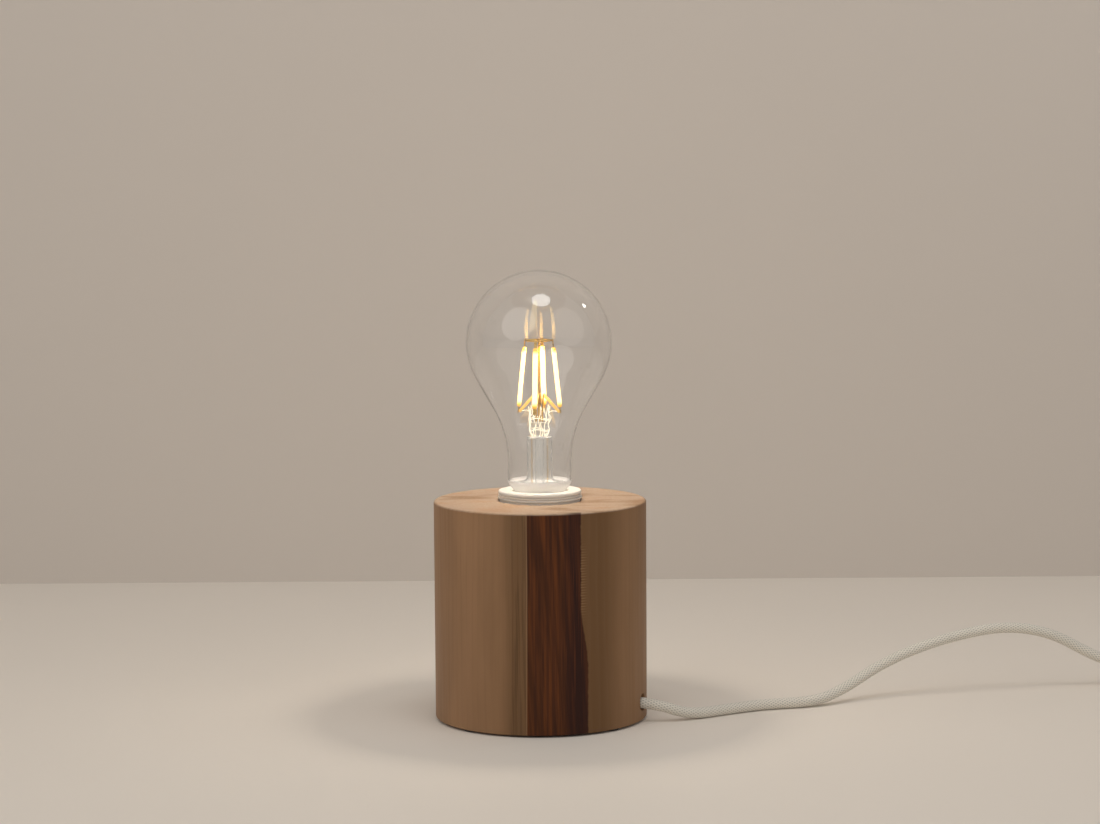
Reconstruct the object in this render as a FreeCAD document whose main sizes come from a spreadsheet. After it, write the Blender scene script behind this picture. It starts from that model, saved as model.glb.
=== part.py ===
import FreeCAD, Part
import math
import os

import Sketcher

# Bare bulb table lamp: a turned wooden cylinder with a recessed E27 lampholder, a clear filament
# bulb and a white textile cord with an in-line rocker switch and a flat two-pin plug.
# Millimetres. The origin is the bottom centre of the base on the table, +Z is up, -Y is the
# front, and the cord leaves on the +X side.

V = FreeCAD.Vector
UP = V(0, 0, 1)
DOC = FreeCAD.newDocument("bare_bulb_table_lamp")
SHEET = DOC.addObject("Spreadsheet::Sheet", "Sizes")

SIZES = {
    # Wooden base, standing on four low feet.
    "foot_height": 1.0,
    "foot_radius": 4.2,
    "foot_ring": 44.6,
    "foot_count": 4,
    "base_radius": 50.0,
    "base_height": 102.4,
    "rim_round": 0.7,
    "rim_chamfer": 0.5,
    "bore_radius": 19.3,
    "bore_depth": 59.4,
    "recess_radius": 33.0,
    "recess_depth": 16.0,
    "cord_hole_radius": 3.6,
    "cord_hole_height": 9.4,
    "cord_azimuth": -18.0,
    # Plate that closes the wiring recess.
    "plate_radius": 39.0,
    "plate_thickness": 2.0,
    "plate_inset": 0.2,
    "plate_gap": 0.2,
    "plate_screw_ring": 36.0,
    "plate_screw_count": 3,
    "plate_screw_angle": 40.0,
    "plate_screw_radius": 1.5,
    "plate_screw_length": 10.0,
    "plate_screw_head": 2.7,
    "screw_gap": 0.1,
    # Threaded tube, nut and washer that hold the lampholder on the web.
    "tube_radius": 5.0,
    "tube_bore": 3.9,
    "tube_gap": 0.1,
    "tube_hole_gap": 0.3,
    "tube_grip": 8.0,
    "tube_tail": 7.4,
    "nut_flats": 14.0,
    "nut_thickness": 4.5,
    "washer_radius": 9.5,
    "washer_thickness": 1.5,
    # Cord clamp under the web.
    "clamp_reach": 23.0,
    "clamp_length": 11.0,
    "clamp_width": 21.0,
    "clamp_bar_length": 7.0,
    "clamp_bar_thickness": 2.0,
    "clamp_bar_drop": 0.2,
    "clamp_screw_radius": 1.4,
    "clamp_screw_head": 2.5,
    "clamp_screw_head_height": 1.1,
    "clamp_screw_spread": 15.0,
    # Lampholder: dome, skirt and core.
    "holder_radius": 19.0,
    "holder_wall": 1.8,
    "holder_rise": 4.9,
    "holder_lip": 0.75,
    "holder_lip_height": 0.6,
    "holder_band": 3.1,
    "holder_band_step": 0.25,
    "holder_round": 0.8,
    "dome_neck_radius": 9.0,
    "dome_neck_height": 7.0,
    "dome_height": 32.0,
    "dome_shoulder": 12.0,
    "joint_gap": 0.1,
    "joint_length": 10.5,
    "core_radius": 13.5,
    "core_depth": 14.0,
    "core_flange": 4.0,
    "sleeve_radius": 13.4,
    "sleeve_wall": 1.7,
    "contact_thickness": 0.5,
    "contact_width": 5.0,
    "contact_length": 12.0,
    "contact_crest": 4.2,
    "contact_slope": 2.1,
    "contact_bend": 0.3,
    "contact_rise": 0.8,
    "side_contact_radius": 12.4,
    "side_contact_foot": 2.0,
    "terminal_screw_radius": 1.4,
    "terminal_screw_length": 9.4,
    "terminal_rise": 3.5,
    "terminal_spread": 16.0,
    "wire_radius": 1.0,
    "wire_side": 1.2,
    "wire_drop": 2.6,
    "wire_straight": 4.0,
    "wire_reach": 4.0,
    "wire_fan": 3.0,
    "wire_end": 4.7,
    # Bulb cap, measured up from the tip of its contact.
    "seat_gap": 0.3,
    "cap_radius": 13.1,
    "cap_wall": 0.35,
    "cap_height": 26.0,
    "cap_foot_radius": 11.0,
    "cap_foot_height": 3.0,
    "cap_shoulder": 3.0,
    "insulator_gap": 0.05,
    "insulator_edge": 0.5,
    "cap_contact_radius": 4.8,
    "cap_contact_height": 0.9,
    "cement_height": 2.6,
    # Blown glass, measured up from the tip of the cap contact.
    "glass_wall": 0.7,
    "crown_radius": 34.2,
    "cone_angle": 30.0,
    "shoulder_radius": 50.0,
    "neck_radius": 15.0,
    "neck_rise": 31.0,
    "neck_length": 9.08,
    "collar_radius": 12.2,
    "collar_rise": 26.6,
    "collar_end": 22.6,
    "collar_round": 5.0,
    # Stem inside the glass.
    "stem_radius": 6.0,
    "stem_wall": 0.8,
    "stem_rise": 51.4,
    "flare_gap": 0.8,
    "flare_drop": 1.1,
    "flare_rise": 0.8,
    "flare_round": 2.6,
    "pinch_width": 9.0,
    "pinch_thickness": 4.2,
    "pinch_height": 7.5,
    "pinch_round": 1.6,
    "exhaust_radius": 2.25,
    "exhaust_wall": 0.6,
    "exhaust_end": 15.6,
    # Filaments and their wires.
    "filament_count": 4,
    "filament_turn": -13.0,
    "filament_width": 2.3,
    "filament_thickness": 1.8,
    "filament_round": 0.4,
    "filament_low": 65.9,
    "filament_high": 93.8,
    "filament_low_radius": 9.9,
    "filament_high_radius": 7.0,
    "tab_low_length": 2.8,
    "tab_high_length": 4.0,
    "tab_width": 1.3,
    "tab_thickness": 0.35,
    "lead_radius": 0.35,
    "lead_spread": 3.7,
    "post_radius": 0.45,
    "hub_radius": 0.9,
    "hub_height": 1.35,
    "ring_drop": 0.7,
    "ring_sink": 0.09,
    "weld_rise": 0.7,
    "arm_foot_radius": 1.5,
    "arm_rise": 71.9,
    # Driver in the cap.
    "board_width": 15.0,
    "board_height": 9.0,
    "board_thickness": 1.0,
    "board_rise": 4.1,
    "capacitor_radius": 2.5,
    "capacitor_length": 7.0,
    "chip_width": 5.0,
    "chip_height": 4.0,
    "chip_thickness": 1.6,
    # Cord, switch and plug.
    "cord_radius": 2.6,
    "coil_centre_x": 366.0,
    "coil_centre_y": 10.0,
    "coil_mean_radius": 28.6,
    "coil_layers": 3,
    "tie_width": 6.0,
    "tie_thickness": 0.6,
    "tie_gap": 0.45,
    "tie_round": 1.6,
    "tie_angle": 150.0,
    "switch_x": 332.0,
    "switch_y": 63.0,
    "switch_length": 62.0,
    "switch_width": 26.0,
    "switch_end_width": 12.0,
    "switch_shoulder": 15.0,
    "switch_shoulder_round": 24.0,
    "switch_split": 8.5,
    "switch_height": 17.0,
    "switch_wall": 1.8,
    "switch_round": 2.0,
    "switch_screw_radius": 1.2,
    "switch_screw_head": 2.2,
    "switch_screw_sink": 1.2,
    "switch_screw_reach": 20.0,
    "switch_screw_side": 6.5,
    "switch_boss_radius": 3.0,
    "rocker_length": 19.0,
    "rocker_width": 10.4,
    "rocker_end_gap": 0.8,
    "rocker_side_gap": 0.35,
    "rocker_tilt": 7.0,
    "rocker_crown": 2.4,
    "rocker_skirt": 1.0,
    "rocker_boss_width": 4.0,
    "rocker_boss_root": 6.0,
    "rocker_boss_depth": 5.0,
    "rocker_pin_radius": 1.0,
    "rocker_pin_gap": 0.05,
    "rocker_pin_reach": 2.2,
    "rocker_lug_thickness": 2.4,
    "rocker_lug_width": 5.0,
    "rocker_pivot_height": 14.0,
    "terminal_block": 6.0,
    "terminal_block_height": 5.0,
    "plug_face_x": 286.0,
    "plug_y": -70.0,
    "plug_width": 35.3,
    "plug_thickness": 13.7,
    "plug_length": 36.0,
    "plug_straight": 18.0,
    "plug_tail_width": 14.0,
    "plug_round": 2.4,
    "pin_radius": 2.0,
    "pin_length": 19.0,
    "pin_spacing": 18.6,
    "pin_core_radius": 1.5,
    "pin_sleeve_radius": 1.8,
    "pin_sleeve_length": 10.0,
    "relief_length": 22.0,
    "relief_radius": 4.8,
    "relief_end_radius": 3.4,
    "relief_groove": 0.9,
    "relief_ribs": 5,
}


class Length:
    """A number that also carries the sheet formula it comes from."""

    def __init__(self, value, formula):
        self.value = float(value)
        self.formula = formula

    def __float__(self):
        return self.value

    def joined(self, sign, other, value):
        return Length(value, f"({self.formula} {sign} {as_length(other).formula})")

    def __add__(self, other):
        return self.joined("+", other, self.value + float(other))

    def __radd__(self, other):
        return as_length(other) + self

    def __sub__(self, other):
        return self.joined("-", other, self.value - float(other))

    def __rsub__(self, other):
        return as_length(other) - self

    def __mul__(self, other):
        return self.joined("*", other, self.value * float(other))

    def __rmul__(self, other):
        return as_length(other) * self

    def __truediv__(self, other):
        return self.joined("/", other, self.value / float(other))

    def __neg__(self):
        return as_length(0) - self


def as_length(number):
    return number if isinstance(number, Length) else Length(number, repr(float(number)))


def cosine(angle):
    return Length(math.cos(math.radians(float(angle))), f"cos({as_length(angle).formula} * 1 deg)")


def sine(angle):
    return Length(math.sin(math.radians(float(angle))), f"sin({as_length(angle).formula} * 1 deg)")


def fill_sheet():
    for row, (alias, number) in enumerate(SIZES.items(), start=1):
        SHEET.set(f"A{row}", alias.replace("_", " "))
        SHEET.set(f"B{row}", str(number))
        SHEET.setAlias(f"B{row}", alias)
    DOC.recompute()


class Sheet:
    """The sheet's sizes as attributes: s.base_radius reads the cell of that alias."""

    def __getattr__(self, alias):
        return Length(SHEET.get(alias), f"Sizes.{alias}")


s = Sheet()
fill_sheet()

# ---------------------------------------------------------------------------------------------
# Heights


class Height:
    """Heights above the table that several sub-parts share, worked out once from the sizes."""

    base_bottom = s.foot_height
    base_top = s.foot_height + s.base_height
    web_top = base_top - s.bore_depth
    web_bottom = s.foot_height + s.recess_depth
    shelf = s.foot_height + s.plate_inset + s.plate_thickness
    tube_bottom = web_bottom - s.tube_tail
    tube_top = web_top + s.tube_grip
    dome_top = web_top + s.dome_height
    holder_top = base_top + s.holder_rise
    core_bottom = dome_top - s.core_depth
    core_top = dome_top + s.core_flange
    cap_tip = core_top + s.contact_rise + s.contact_thickness + s.seat_gap
    cap_foot = cap_tip + s.cap_foot_height
    cap_top = cap_tip + s.cap_height
    board_bottom = cap_tip + s.board_rise
    board_top = board_bottom + s.board_height
    neck_start = cap_tip + s.neck_rise
    stem_top = cap_tip + s.stem_rise
    pinch_bottom = stem_top + s.stem_wall / 2
    pinch_top = pinch_bottom + s.pinch_height
    neck_end = neck_start + s.neck_length
    lit_low = cap_tip + s.filament_low
    lit_high = cap_tip + s.filament_high
    coil_bottom = s.tie_thickness + s.tie_gap


# ---------------------------------------------------------------------------------------------
# Modelling helpers

NODES = {}


def keep(label, piece):
    """Names a finished sub-part, so that it is checked and written as a node."""
    piece.Label = label
    NODES[label] = piece
    return piece


def bind(piece, **sizes):
    for prop, length in sizes.items():
        setattr(piece, prop, float(length))
        if isinstance(length, Length):
            piece.setExpression(prop, length.formula)


def move(piece, x=0, y=0, z=0):
    """Places a piece at sizes of the sheet."""
    piece.Placement.Base = V(float(x), float(y), float(z))
    for axis, length in (("x", x), ("y", y), ("z", z)):
        if isinstance(length, Length):
            piece.setExpression(f"Placement.Base.{axis}", length.formula)
    return piece


def new_body(name):
    return DOC.addObject("PartDesign::Body", name)


def origin_plane(body, role):
    return next(plane for plane in body.Origin.OriginFeatures if plane.Role == role)


def new_sketch(body, name, role, offset=0.0, spin=0.0):
    """A sketch on one of the body's own origin planes, lifted off it and spun about its own Y."""
    sketch = body.newObject("Sketcher::SketchObject", name)
    sketch.AttachmentSupport = [(origin_plane(body, role), "")]
    sketch.MapMode = "FlatFace"
    rotation = FreeCAD.Rotation(V(0, 1, 0), float(spin))
    sketch.AttachmentOffset = FreeCAD.Placement(V(0, 0, float(offset)), rotation)
    if isinstance(offset, Length):
        sketch.setExpression("AttachmentOffset.Base.z", offset.formula)
    return sketch


def fix_point(sketch, geometry, end, x, y):
    """Ties a sketch point to the origin by sheet sizes."""
    for kind, length in (("DistanceX", as_length(x)), ("DistanceY", as_length(y))):
        index = sketch.addConstraint(
            Sketcher.Constraint(kind, -1, 1, geometry, end, length.value)
        )
        if "Sizes" in length.formula:
            sketch.setExpression(f"Constraints[{index}]", length.formula)


def arc_between(start, end, radius, bulge_left):
    """The short arc from start to end, and whether it runs anticlockwise."""
    chord = end - start
    side = V(-chord.y, chord.x, 0).normalize()
    rise = math.sqrt(max(radius * radius - chord.Length**2 / 4, 0.0))
    centre = (start + end) * 0.5 - side * (rise if bulge_left else -rise)
    first = math.atan2(start.y - centre.y, start.x - centre.x)
    last = math.atan2(end.y - centre.y, end.x - centre.x)
    circle = Part.Circle(centre, V(0, 0, 1), radius)
    if bulge_left:
        first, last = last, first
    while last < first:
        last += 2 * math.pi
    return Part.ArcOfCircle(circle, first, last), not bulge_left


def draw_outline(sketch, corners):
    """A closed outline. A corner is (x, y), or (x, y, radius, bulge_left) where an arc follows."""
    ends = []
    for index, corner in enumerate(corners):
        following = corners[(index + 1) % len(corners)]
        start = V(float(corner[0]), float(corner[1]), 0)
        end = V(float(following[0]), float(following[1]), 0)
        if len(corner) == 2:
            geometry = sketch.addGeometry(Part.LineSegment(start, end), False)
            ends.append((geometry, 1, 2))
            continue
        arc, forwards = arc_between(start, end, float(corner[2]), corner[3])
        geometry = sketch.addGeometry(arc, False)
        ends.append((geometry, 1, 2) if forwards else (geometry, 2, 1))
    for index, (geometry, first, last) in enumerate(ends):
        following, its_first, _ = ends[(index + 1) % len(ends)]
        sketch.addConstraint(
            Sketcher.Constraint("Coincident", geometry, last, following, its_first)
        )
        corner = corners[index]
        fix_point(sketch, geometry, first, corner[0], corner[1])
        if len(corner) > 2:
            radius = as_length(corner[2])
            made = sketch.addConstraint(Sketcher.Constraint("Radius", geometry, radius.value))
            if "Sizes" in radius.formula:
                sketch.setExpression(f"Constraints[{made}]", radius.formula)
    return sketch


def draw_circle(sketch, x, y, radius):
    circle = Part.Circle(V(float(x), float(y), 0), V(0, 0, 1), float(radius))
    geometry = sketch.addGeometry(circle, False)
    fix_point(sketch, geometry, 3, x, y)
    made = sketch.addConstraint(Sketcher.Constraint("Radius", geometry, float(radius)))
    sketch.setExpression(f"Constraints[{made}]", as_length(radius).formula)
    return sketch


def revolved(label, corners):
    """A body turned about Z from an outline of (radius, height) corners."""
    body = new_body(label)
    sketch = draw_outline(new_sketch(body, f"{label}_outline", "XZ_Plane"), corners)
    turned = body.newObject("PartDesign::Revolution", f"{label}_turned")
    turned.Profile = sketch
    turned.ReferenceAxis = (sketch, ["V_Axis"])
    turned.Angle = 360
    return keep(label, body)


def pad(body, sketch, length, centred=False):
    feature = body.newObject("PartDesign::Pad", f"{sketch.Name}_pad")
    feature.Profile = sketch
    bind(feature, Length=length)
    feature.Midplane = centred
    return feature


def pocket(body, sketch, length, forwards=True):
    """Cuts along the sketch's normal, or against it, and makes sure that it cut something."""
    DOC.recompute()
    before = body.Shape.Volume
    feature = body.newObject("PartDesign::Pocket", f"{sketch.Name}_pocket")
    feature.Profile = sketch
    bind(feature, Length=length)
    feature.Reversed = forwards
    DOC.recompute()
    if body.Shape.Volume > before - 0.1:
        raise RuntimeError(f"{sketch.Name}: the pocket cuts nothing")
    return feature


def polar(body, feature, sketch, count):
    """Repeats a feature about the body's Z axis."""
    pattern = body.newObject("PartDesign::PolarPattern", f"{feature.Name}_ring")
    pattern.Originals = [feature]
    pattern.Axis = (sketch, ["N_Axis"])
    pattern.Angle = 360
    pattern.Occurrences = int(float(count))
    body.Tip = pattern
    return pattern


def dress(body, kind, size, wanted):
    """Fillets or chamfers the edges of the body that wanted() picks."""
    DOC.recompute()
    base = body.Tip
    names = [
        f"Edge{number}" for number, edge in enumerate(base.Shape.Edges, start=1) if wanted(edge)
    ]
    feature = body.newObject(f"PartDesign::{kind}", f"{body.Name}_{kind.lower()}{len(body.Group)}")
    feature.Base = (base, names)
    if kind == "Fillet":
        bind(feature, Radius=size)
    else:
        bind(feature, Size=size)
    return feature


def near(one, other):
    return abs(float(one) - float(other)) < 0.01


def circle_at(edge, radius, height=None):
    curve = edge.Curve
    if not isinstance(curve, Part.Circle) or not near(curve.Radius, radius):
        return False
    return height is None or near(curve.Center.z, height)


def upright(edge, reach, axis="x"):
    """A straight edge along Z at a distance from the middle plane."""
    box = edge.BoundBox
    low, high = (box.XMin, box.XMax) if axis == "x" else (box.YMin, box.YMax)
    thin = near(low, high) and box.ZLength > box.XLength + box.YLength
    return thin and near(max(abs(low), abs(high)), reach)


def level(edge, height):
    box = edge.BoundBox
    return near(box.ZMin, height) and near(box.ZMax, height)


def cylinder(name, radius, length):
    piece = DOC.addObject("Part::Cylinder", name)
    bind(piece, Radius=radius, Height=length)
    return piece


def cone(name, low_radius, high_radius, length):
    piece = DOC.addObject("Part::Cone", name)
    bind(piece, Radius1=low_radius, Radius2=high_radius, Height=length)
    return piece


def block(name, x_size, y_size, z_size):
    """A box centred in X and Y on the origin and standing on Z = 0."""
    piece = DOC.addObject("Part::Box", name)
    bind(piece, Length=x_size, Width=y_size, Height=z_size)
    return move(piece, x_size / -2, y_size / -2, 0)


def lift(piece, height):
    """Raises a centred block to a height."""
    piece.Placement.Base = V(piece.Placement.Base.x, piece.Placement.Base.y, float(height))
    piece.setExpression("Placement.Base.z", height.formula)
    return piece


def fused(name, pieces):
    joined = DOC.addObject("Part::MultiFuse", name)
    joined.Shapes = pieces
    return joined


def cut(name, base, tool):
    result = DOC.addObject("Part::Cut", name)
    result.Base = base
    result.Tool = tool
    return result


def group(name, pieces):
    """Separate solids that share one node."""
    compound = DOC.addObject("Part::Compound", name)
    compound.Links = pieces
    return compound


def placed(piece, place, axis=UP, angle=0.0):
    """Moves and turns a finished piece as a whole."""
    rotation = FreeCAD.Rotation(axis, float(angle))
    piece.Placement = FreeCAD.Placement(V(*(float(size) for size in place)), rotation)
    return piece


def smooth_path(points, share=0.45):
    """Straight runs joined by tangent arcs, each as large as its two runs allow."""
    places = [V(*(float(number) for number in point)) for point in points]
    edges = []
    radii = []
    at = places[0]
    for before, corner, after in zip(places, places[1:], places[2:]):
        into = (corner - before).normalize()
        out_of = (after - corner).normalize()
        half_turn = into.getAngle(out_of) / 2
        reach = share * min((corner - before).Length, (after - corner).Length)
        first = corner - into * reach
        last = corner + out_of * reach
        radius = reach / math.tan(half_turn)
        to_centre = (out_of - into).normalize()
        centre = corner + to_centre * (radius / math.cos(half_turn))
        middle = centre - to_centre * radius
        edges.append(Part.LineSegment(at, first).toShape())
        edges.append(Part.Arc(first, middle, last).toShape())
        radii.append(radius)
        at = last
    edges.append(Part.LineSegment(at, places[-1]).toShape())
    return Part.Wire(edges), radii


def swept(name, points, radius, share=0.45):
    """A round wire or cord swept along a route, and the radii of its bends."""
    path, radii = smooth_path(points, share)
    spine = DOC.addObject("Part::Feature", f"{name}_route")
    spine.Shape = path
    ring = DOC.addObject("Part::Circle", f"{name}_section")
    bind(ring, Radius=radius)
    start = V(*(float(number) for number in points[0]))
    heading = V(*(float(number) for number in points[1])) - start
    ring.Placement = FreeCAD.Placement(start, FreeCAD.Rotation(V(0, 0, 1), heading))
    tube = DOC.addObject("Part::Sweep", name)
    tube.Sections = [ring]
    tube.Spine = (spine, [f"Edge{number + 1}" for number in range(len(path.Edges))])
    tube.Solid = True
    tube.Frenet = False
    DOC.recompute()
    section = math.pi * float(radius) ** 2
    if not near(tube.Shape.Volume / (section * path.Length), 1.0):
        raise RuntimeError(f"{name}: the swept volume is not its section times its length")
    return tube, radii, path.Length


def around(radius, angle, height):
    """A point on a circle about the lamp's axis."""
    return (
        float(radius) * math.cos(math.radians(float(angle))),
        float(radius) * math.sin(math.radians(float(angle))),
        float(height),
    )


def beside(radius, aside, height):
    """A point on the cord's line inside the base, and some way to its left."""
    along = V(*around(1, s.cord_azimuth, 0))
    point = along * radius + UP.cross(along) * aside
    return (point.x, point.y, height)


def rectangle(x_size, y_size):
    """Corners of a rectangle centred on the origin."""
    return [
        (x_size / -2, y_size / -2),
        (x_size / 2, y_size / -2),
        (x_size / 2, y_size / 2),
        (x_size / -2, y_size / 2),
    ]


# ---------------------------------------------------------------------------------------------
# Wooden base


def make_wood_base():
    """One turned block: lampholder bore above, wiring recess and plate rebate below."""
    tube_hole = s.tube_radius + s.tube_hole_gap
    edge_break = s.rim_chamfer
    body = revolved(
        "wood_base",
        [
            (tube_hole, Height.web_bottom),
            (s.recess_radius, Height.web_bottom),
            (s.recess_radius, Height.shelf),
            (s.plate_radius + s.plate_gap, Height.shelf),
            (s.plate_radius + s.plate_gap, Height.base_bottom),
            (s.base_radius - edge_break, Height.base_bottom),
            (s.base_radius, Height.base_bottom + edge_break),
            (s.base_radius, Height.base_top - s.rim_round, s.rim_round, False),
            (s.base_radius - s.rim_round, Height.base_top),
            (s.bore_radius + edge_break, Height.base_top),
            (s.bore_radius, Height.base_top - edge_break),
            (s.bore_radius, Height.web_top),
            (tube_hole, Height.web_top),
        ],
    )
    cord_hole = new_sketch(body, "cord_hole", "YZ_Plane", 0.0, s.cord_azimuth)
    draw_circle(cord_hole, 0, s.cord_hole_height, s.cord_hole_radius)
    pocket(body, cord_hole, s.base_radius + s.rim_round)
    pilot = new_sketch(body, "pilot_hole", "XY_Plane", Height.shelf)
    ring, angle = s.plate_screw_ring, s.plate_screw_angle
    pilot_radius = s.plate_screw_radius + s.screw_gap
    draw_circle(pilot, ring * cosine(angle), ring * sine(angle), pilot_radius)
    drilled = pocket(body, pilot, s.plate_screw_length)
    polar(body, drilled, pilot, s.plate_screw_count)


def make_feet():
    feet = []
    for number in range(int(float(s.foot_count))):
        foot = cylinder(f"foot_{number + 1}", s.foot_radius, s.foot_height)
        angle = 360 / float(s.foot_count) * (number + 0.5)
        feet.append(placed(foot, around(s.foot_ring, angle, 0)))
    keep("feet", group("feet", feet))


def make_bottom_plate():
    underside = Height.base_bottom + s.plate_inset
    body = new_body("bottom_plate")
    disc = new_sketch(body, "plate_disc", "XY_Plane", underside)
    draw_circle(disc, 0, 0, s.plate_radius)
    pad(body, disc, s.plate_thickness)
    hole = new_sketch(body, "plate_hole", "XY_Plane", underside)
    ring, angle = s.plate_screw_ring, s.plate_screw_angle
    hole_radius = s.plate_screw_radius + s.screw_gap
    draw_circle(hole, ring * cosine(angle), ring * sine(angle), hole_radius)
    drilled = pocket(body, hole, s.plate_thickness)
    polar(body, drilled, hole, s.plate_screw_count)
    countersink = s.plate_screw_head - s.plate_screw_radius
    dress(body, "Chamfer", countersink, lambda edge: circle_at(edge, hole_radius, underside))
    keep("bottom_plate", body)


def make_plate_screws():
    """Countersunk wood screws through the plate into the shelf of the base."""
    screws = []
    head_height = s.plate_screw_head - s.plate_screw_radius
    tip_length = 2 * s.plate_screw_radius
    tip_radius = s.plate_screw_radius / 8
    shank_length = s.plate_screw_length - head_height - tip_length
    for number in range(int(float(s.plate_screw_count))):
        name = f"plate_screw_{number + 1}"
        head = cone(f"{name}_head", s.plate_screw_head, s.plate_screw_radius, head_height)
        shank = cylinder(f"{name}_shank", s.plate_screw_radius, shank_length)
        move(shank, 0, 0, head_height)
        tip = cone(f"{name}_tip", s.plate_screw_radius, tip_radius, tip_length)
        move(tip, 0, 0, head_height + shank_length)
        screw = fused(name, [head, shank, tip])
        angle = float(s.plate_screw_angle) + 360 / float(s.plate_screw_count) * number
        place = around(s.plate_screw_ring, angle, Height.base_bottom + s.plate_inset)
        screws.append(placed(screw, place))
    keep("plate_screws", group("plate_screws", screws))


# ---------------------------------------------------------------------------------------------
# Fixing of the lampholder and clamp of the cord


def make_fixing():
    """Hollow threaded tube through the web, with a washer and a hexagon nut under it."""
    edge_break = s.rim_chamfer
    bottom, top = Height.tube_bottom, Height.tube_top
    revolved(
        "fixing_tube",
        [
            (s.tube_bore, bottom),
            (s.tube_radius - edge_break, bottom),
            (s.tube_radius, bottom + edge_break),
            (s.tube_radius, top - edge_break),
            (s.tube_radius - edge_break, top),
            (s.tube_bore, top),
        ],
    )
    washer_bottom = Height.web_bottom - s.washer_thickness
    hole = s.tube_radius + s.tube_gap
    revolved(
        "fixing_washer",
        [
            (hole, washer_bottom),
            (s.washer_radius, washer_bottom),
            (s.washer_radius, Height.web_bottom),
            (hole, Height.web_bottom),
        ],
    )
    body = new_body("fixing_nut")
    sketch = new_sketch(body, "nut_outline", "XY_Plane", washer_bottom - s.nut_thickness)
    corner_radius = s.nut_flats / (2 * cosine(30))
    draw_outline(
        sketch,
        [(corner_radius * cosine(60 * side), corner_radius * sine(60 * side)) for side in range(6)],
    )
    draw_circle(sketch, 0, 0, hole)
    pad(body, sketch, s.nut_thickness)
    keep("fixing_nut", body)


def make_cord_clamp():
    """A saddle under the web and a screwed bar that grips the cord against it."""
    saddle_bottom = s.cord_hole_height + s.cord_radius + s.clamp_bar_drop
    saddle_height = Height.web_bottom - saddle_bottom
    bar_top = s.cord_hole_height - s.cord_radius - s.clamp_bar_drop
    bar_bottom = bar_top - s.clamp_bar_thickness
    hole_radius = s.clamp_screw_radius + s.screw_gap
    shank_length = Height.web_bottom - bar_bottom
    holes = []
    bar_holes = []
    screws = []
    for side, end in ((-1, "near"), (1, "far")):
        across = s.clamp_screw_spread / 2 * side
        hole = cylinder(f"saddle_hole_{end}", hole_radius, saddle_height)
        holes.append(move(hole, 0, across, 0))
        bar_hole = cylinder(f"bar_hole_{end}", hole_radius, s.clamp_bar_thickness)
        bar_holes.append(move(bar_hole, 0, across, 0))
        head = cylinder(f"clamp_head_{end}", s.clamp_screw_head, s.clamp_screw_head_height)
        shank = cylinder(f"clamp_shank_{end}", s.clamp_screw_radius, shank_length)
        move(shank, 0, 0, s.clamp_screw_head_height)
        screw = fused(f"clamp_screw_{end}", [head, shank])
        screws.append(move(screw, 0, across, 0))
    saddle_block = block("saddle_block", s.clamp_length, s.clamp_width, saddle_height)
    saddle = cut("cord_clamp_saddle", saddle_block, group("saddle_holes", holes))
    bar_block = block("bar_block", s.clamp_bar_length, s.clamp_width, s.clamp_bar_thickness)
    bar = cut("cord_clamp_bar", bar_block, group("bar_holes", bar_holes))
    both = group("cord_clamp_screws", screws)
    head_bottom = bar_bottom - s.clamp_screw_head_height
    for piece, height in ((saddle, saddle_bottom), (bar, bar_bottom), (both, head_bottom)):
        place = around(s.clamp_reach, s.cord_azimuth, height)
        keep(piece.Name, placed(piece, place, UP, s.cord_azimuth))


# ---------------------------------------------------------------------------------------------
# Lampholder


def make_holder_dome():
    """Lower cup of the lampholder, screwed on the fixing tube."""
    wall = s.holder_wall
    hole = s.tube_radius + s.tube_gap
    joint_radius = s.holder_radius - wall - s.joint_gap
    step = Height.dome_top - s.joint_length
    shoulder_foot = Height.web_top + s.dome_neck_height
    shoulder_top = shoulder_foot + s.dome_shoulder
    floor = shoulder_foot + 2 * wall
    revolved(
        "holder_dome",
        [
            (hole, Height.web_top),
            (s.dome_neck_radius, Height.web_top),
            (s.dome_neck_radius, shoulder_foot),
            (s.holder_radius, shoulder_top),
            (s.holder_radius, step),
            (joint_radius, step),
            (joint_radius, Height.dome_top),
            (joint_radius - wall, Height.dome_top),
            (joint_radius - wall, shoulder_top + wall / 2),
            (s.dome_neck_radius, floor),
            (hole, floor),
        ],
    )


def make_holder_skirt():
    """Upper shell: outer wall, lip and band, and the sleeve that takes the bulb's cap."""
    bottom = Height.dome_top - s.joint_length + s.joint_gap
    inner = s.holder_radius - s.holder_wall
    sleeve_bottom = Height.core_top
    sleeve_outer = s.sleeve_radius + s.sleeve_wall
    under_top = Height.holder_top - s.holder_wall - s.holder_round
    lip_radius = s.holder_radius + s.holder_lip
    band_radius = lip_radius - s.holder_band_step
    band_bottom = Height.holder_top - s.holder_band
    lip_bottom = band_bottom - s.holder_lip_height
    round_start = Height.holder_top - s.holder_round
    revolved(
        "holder_skirt",
        [
            (inner, bottom),
            (s.holder_radius, bottom),
            (s.holder_radius, lip_bottom - s.holder_lip),
            (lip_radius, lip_bottom),
            (lip_radius, band_bottom),
            (band_radius, band_bottom),
            (band_radius, round_start, s.holder_round, False),
            (band_radius - s.holder_round, Height.holder_top),
            (s.sleeve_radius + s.holder_round, Height.holder_top, s.holder_round, False),
            (s.sleeve_radius, round_start),
            (s.sleeve_radius, sleeve_bottom),
            (sleeve_outer, sleeve_bottom),
            (sleeve_outer, under_top),
            (inner, under_top),
        ],
    )


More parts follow.
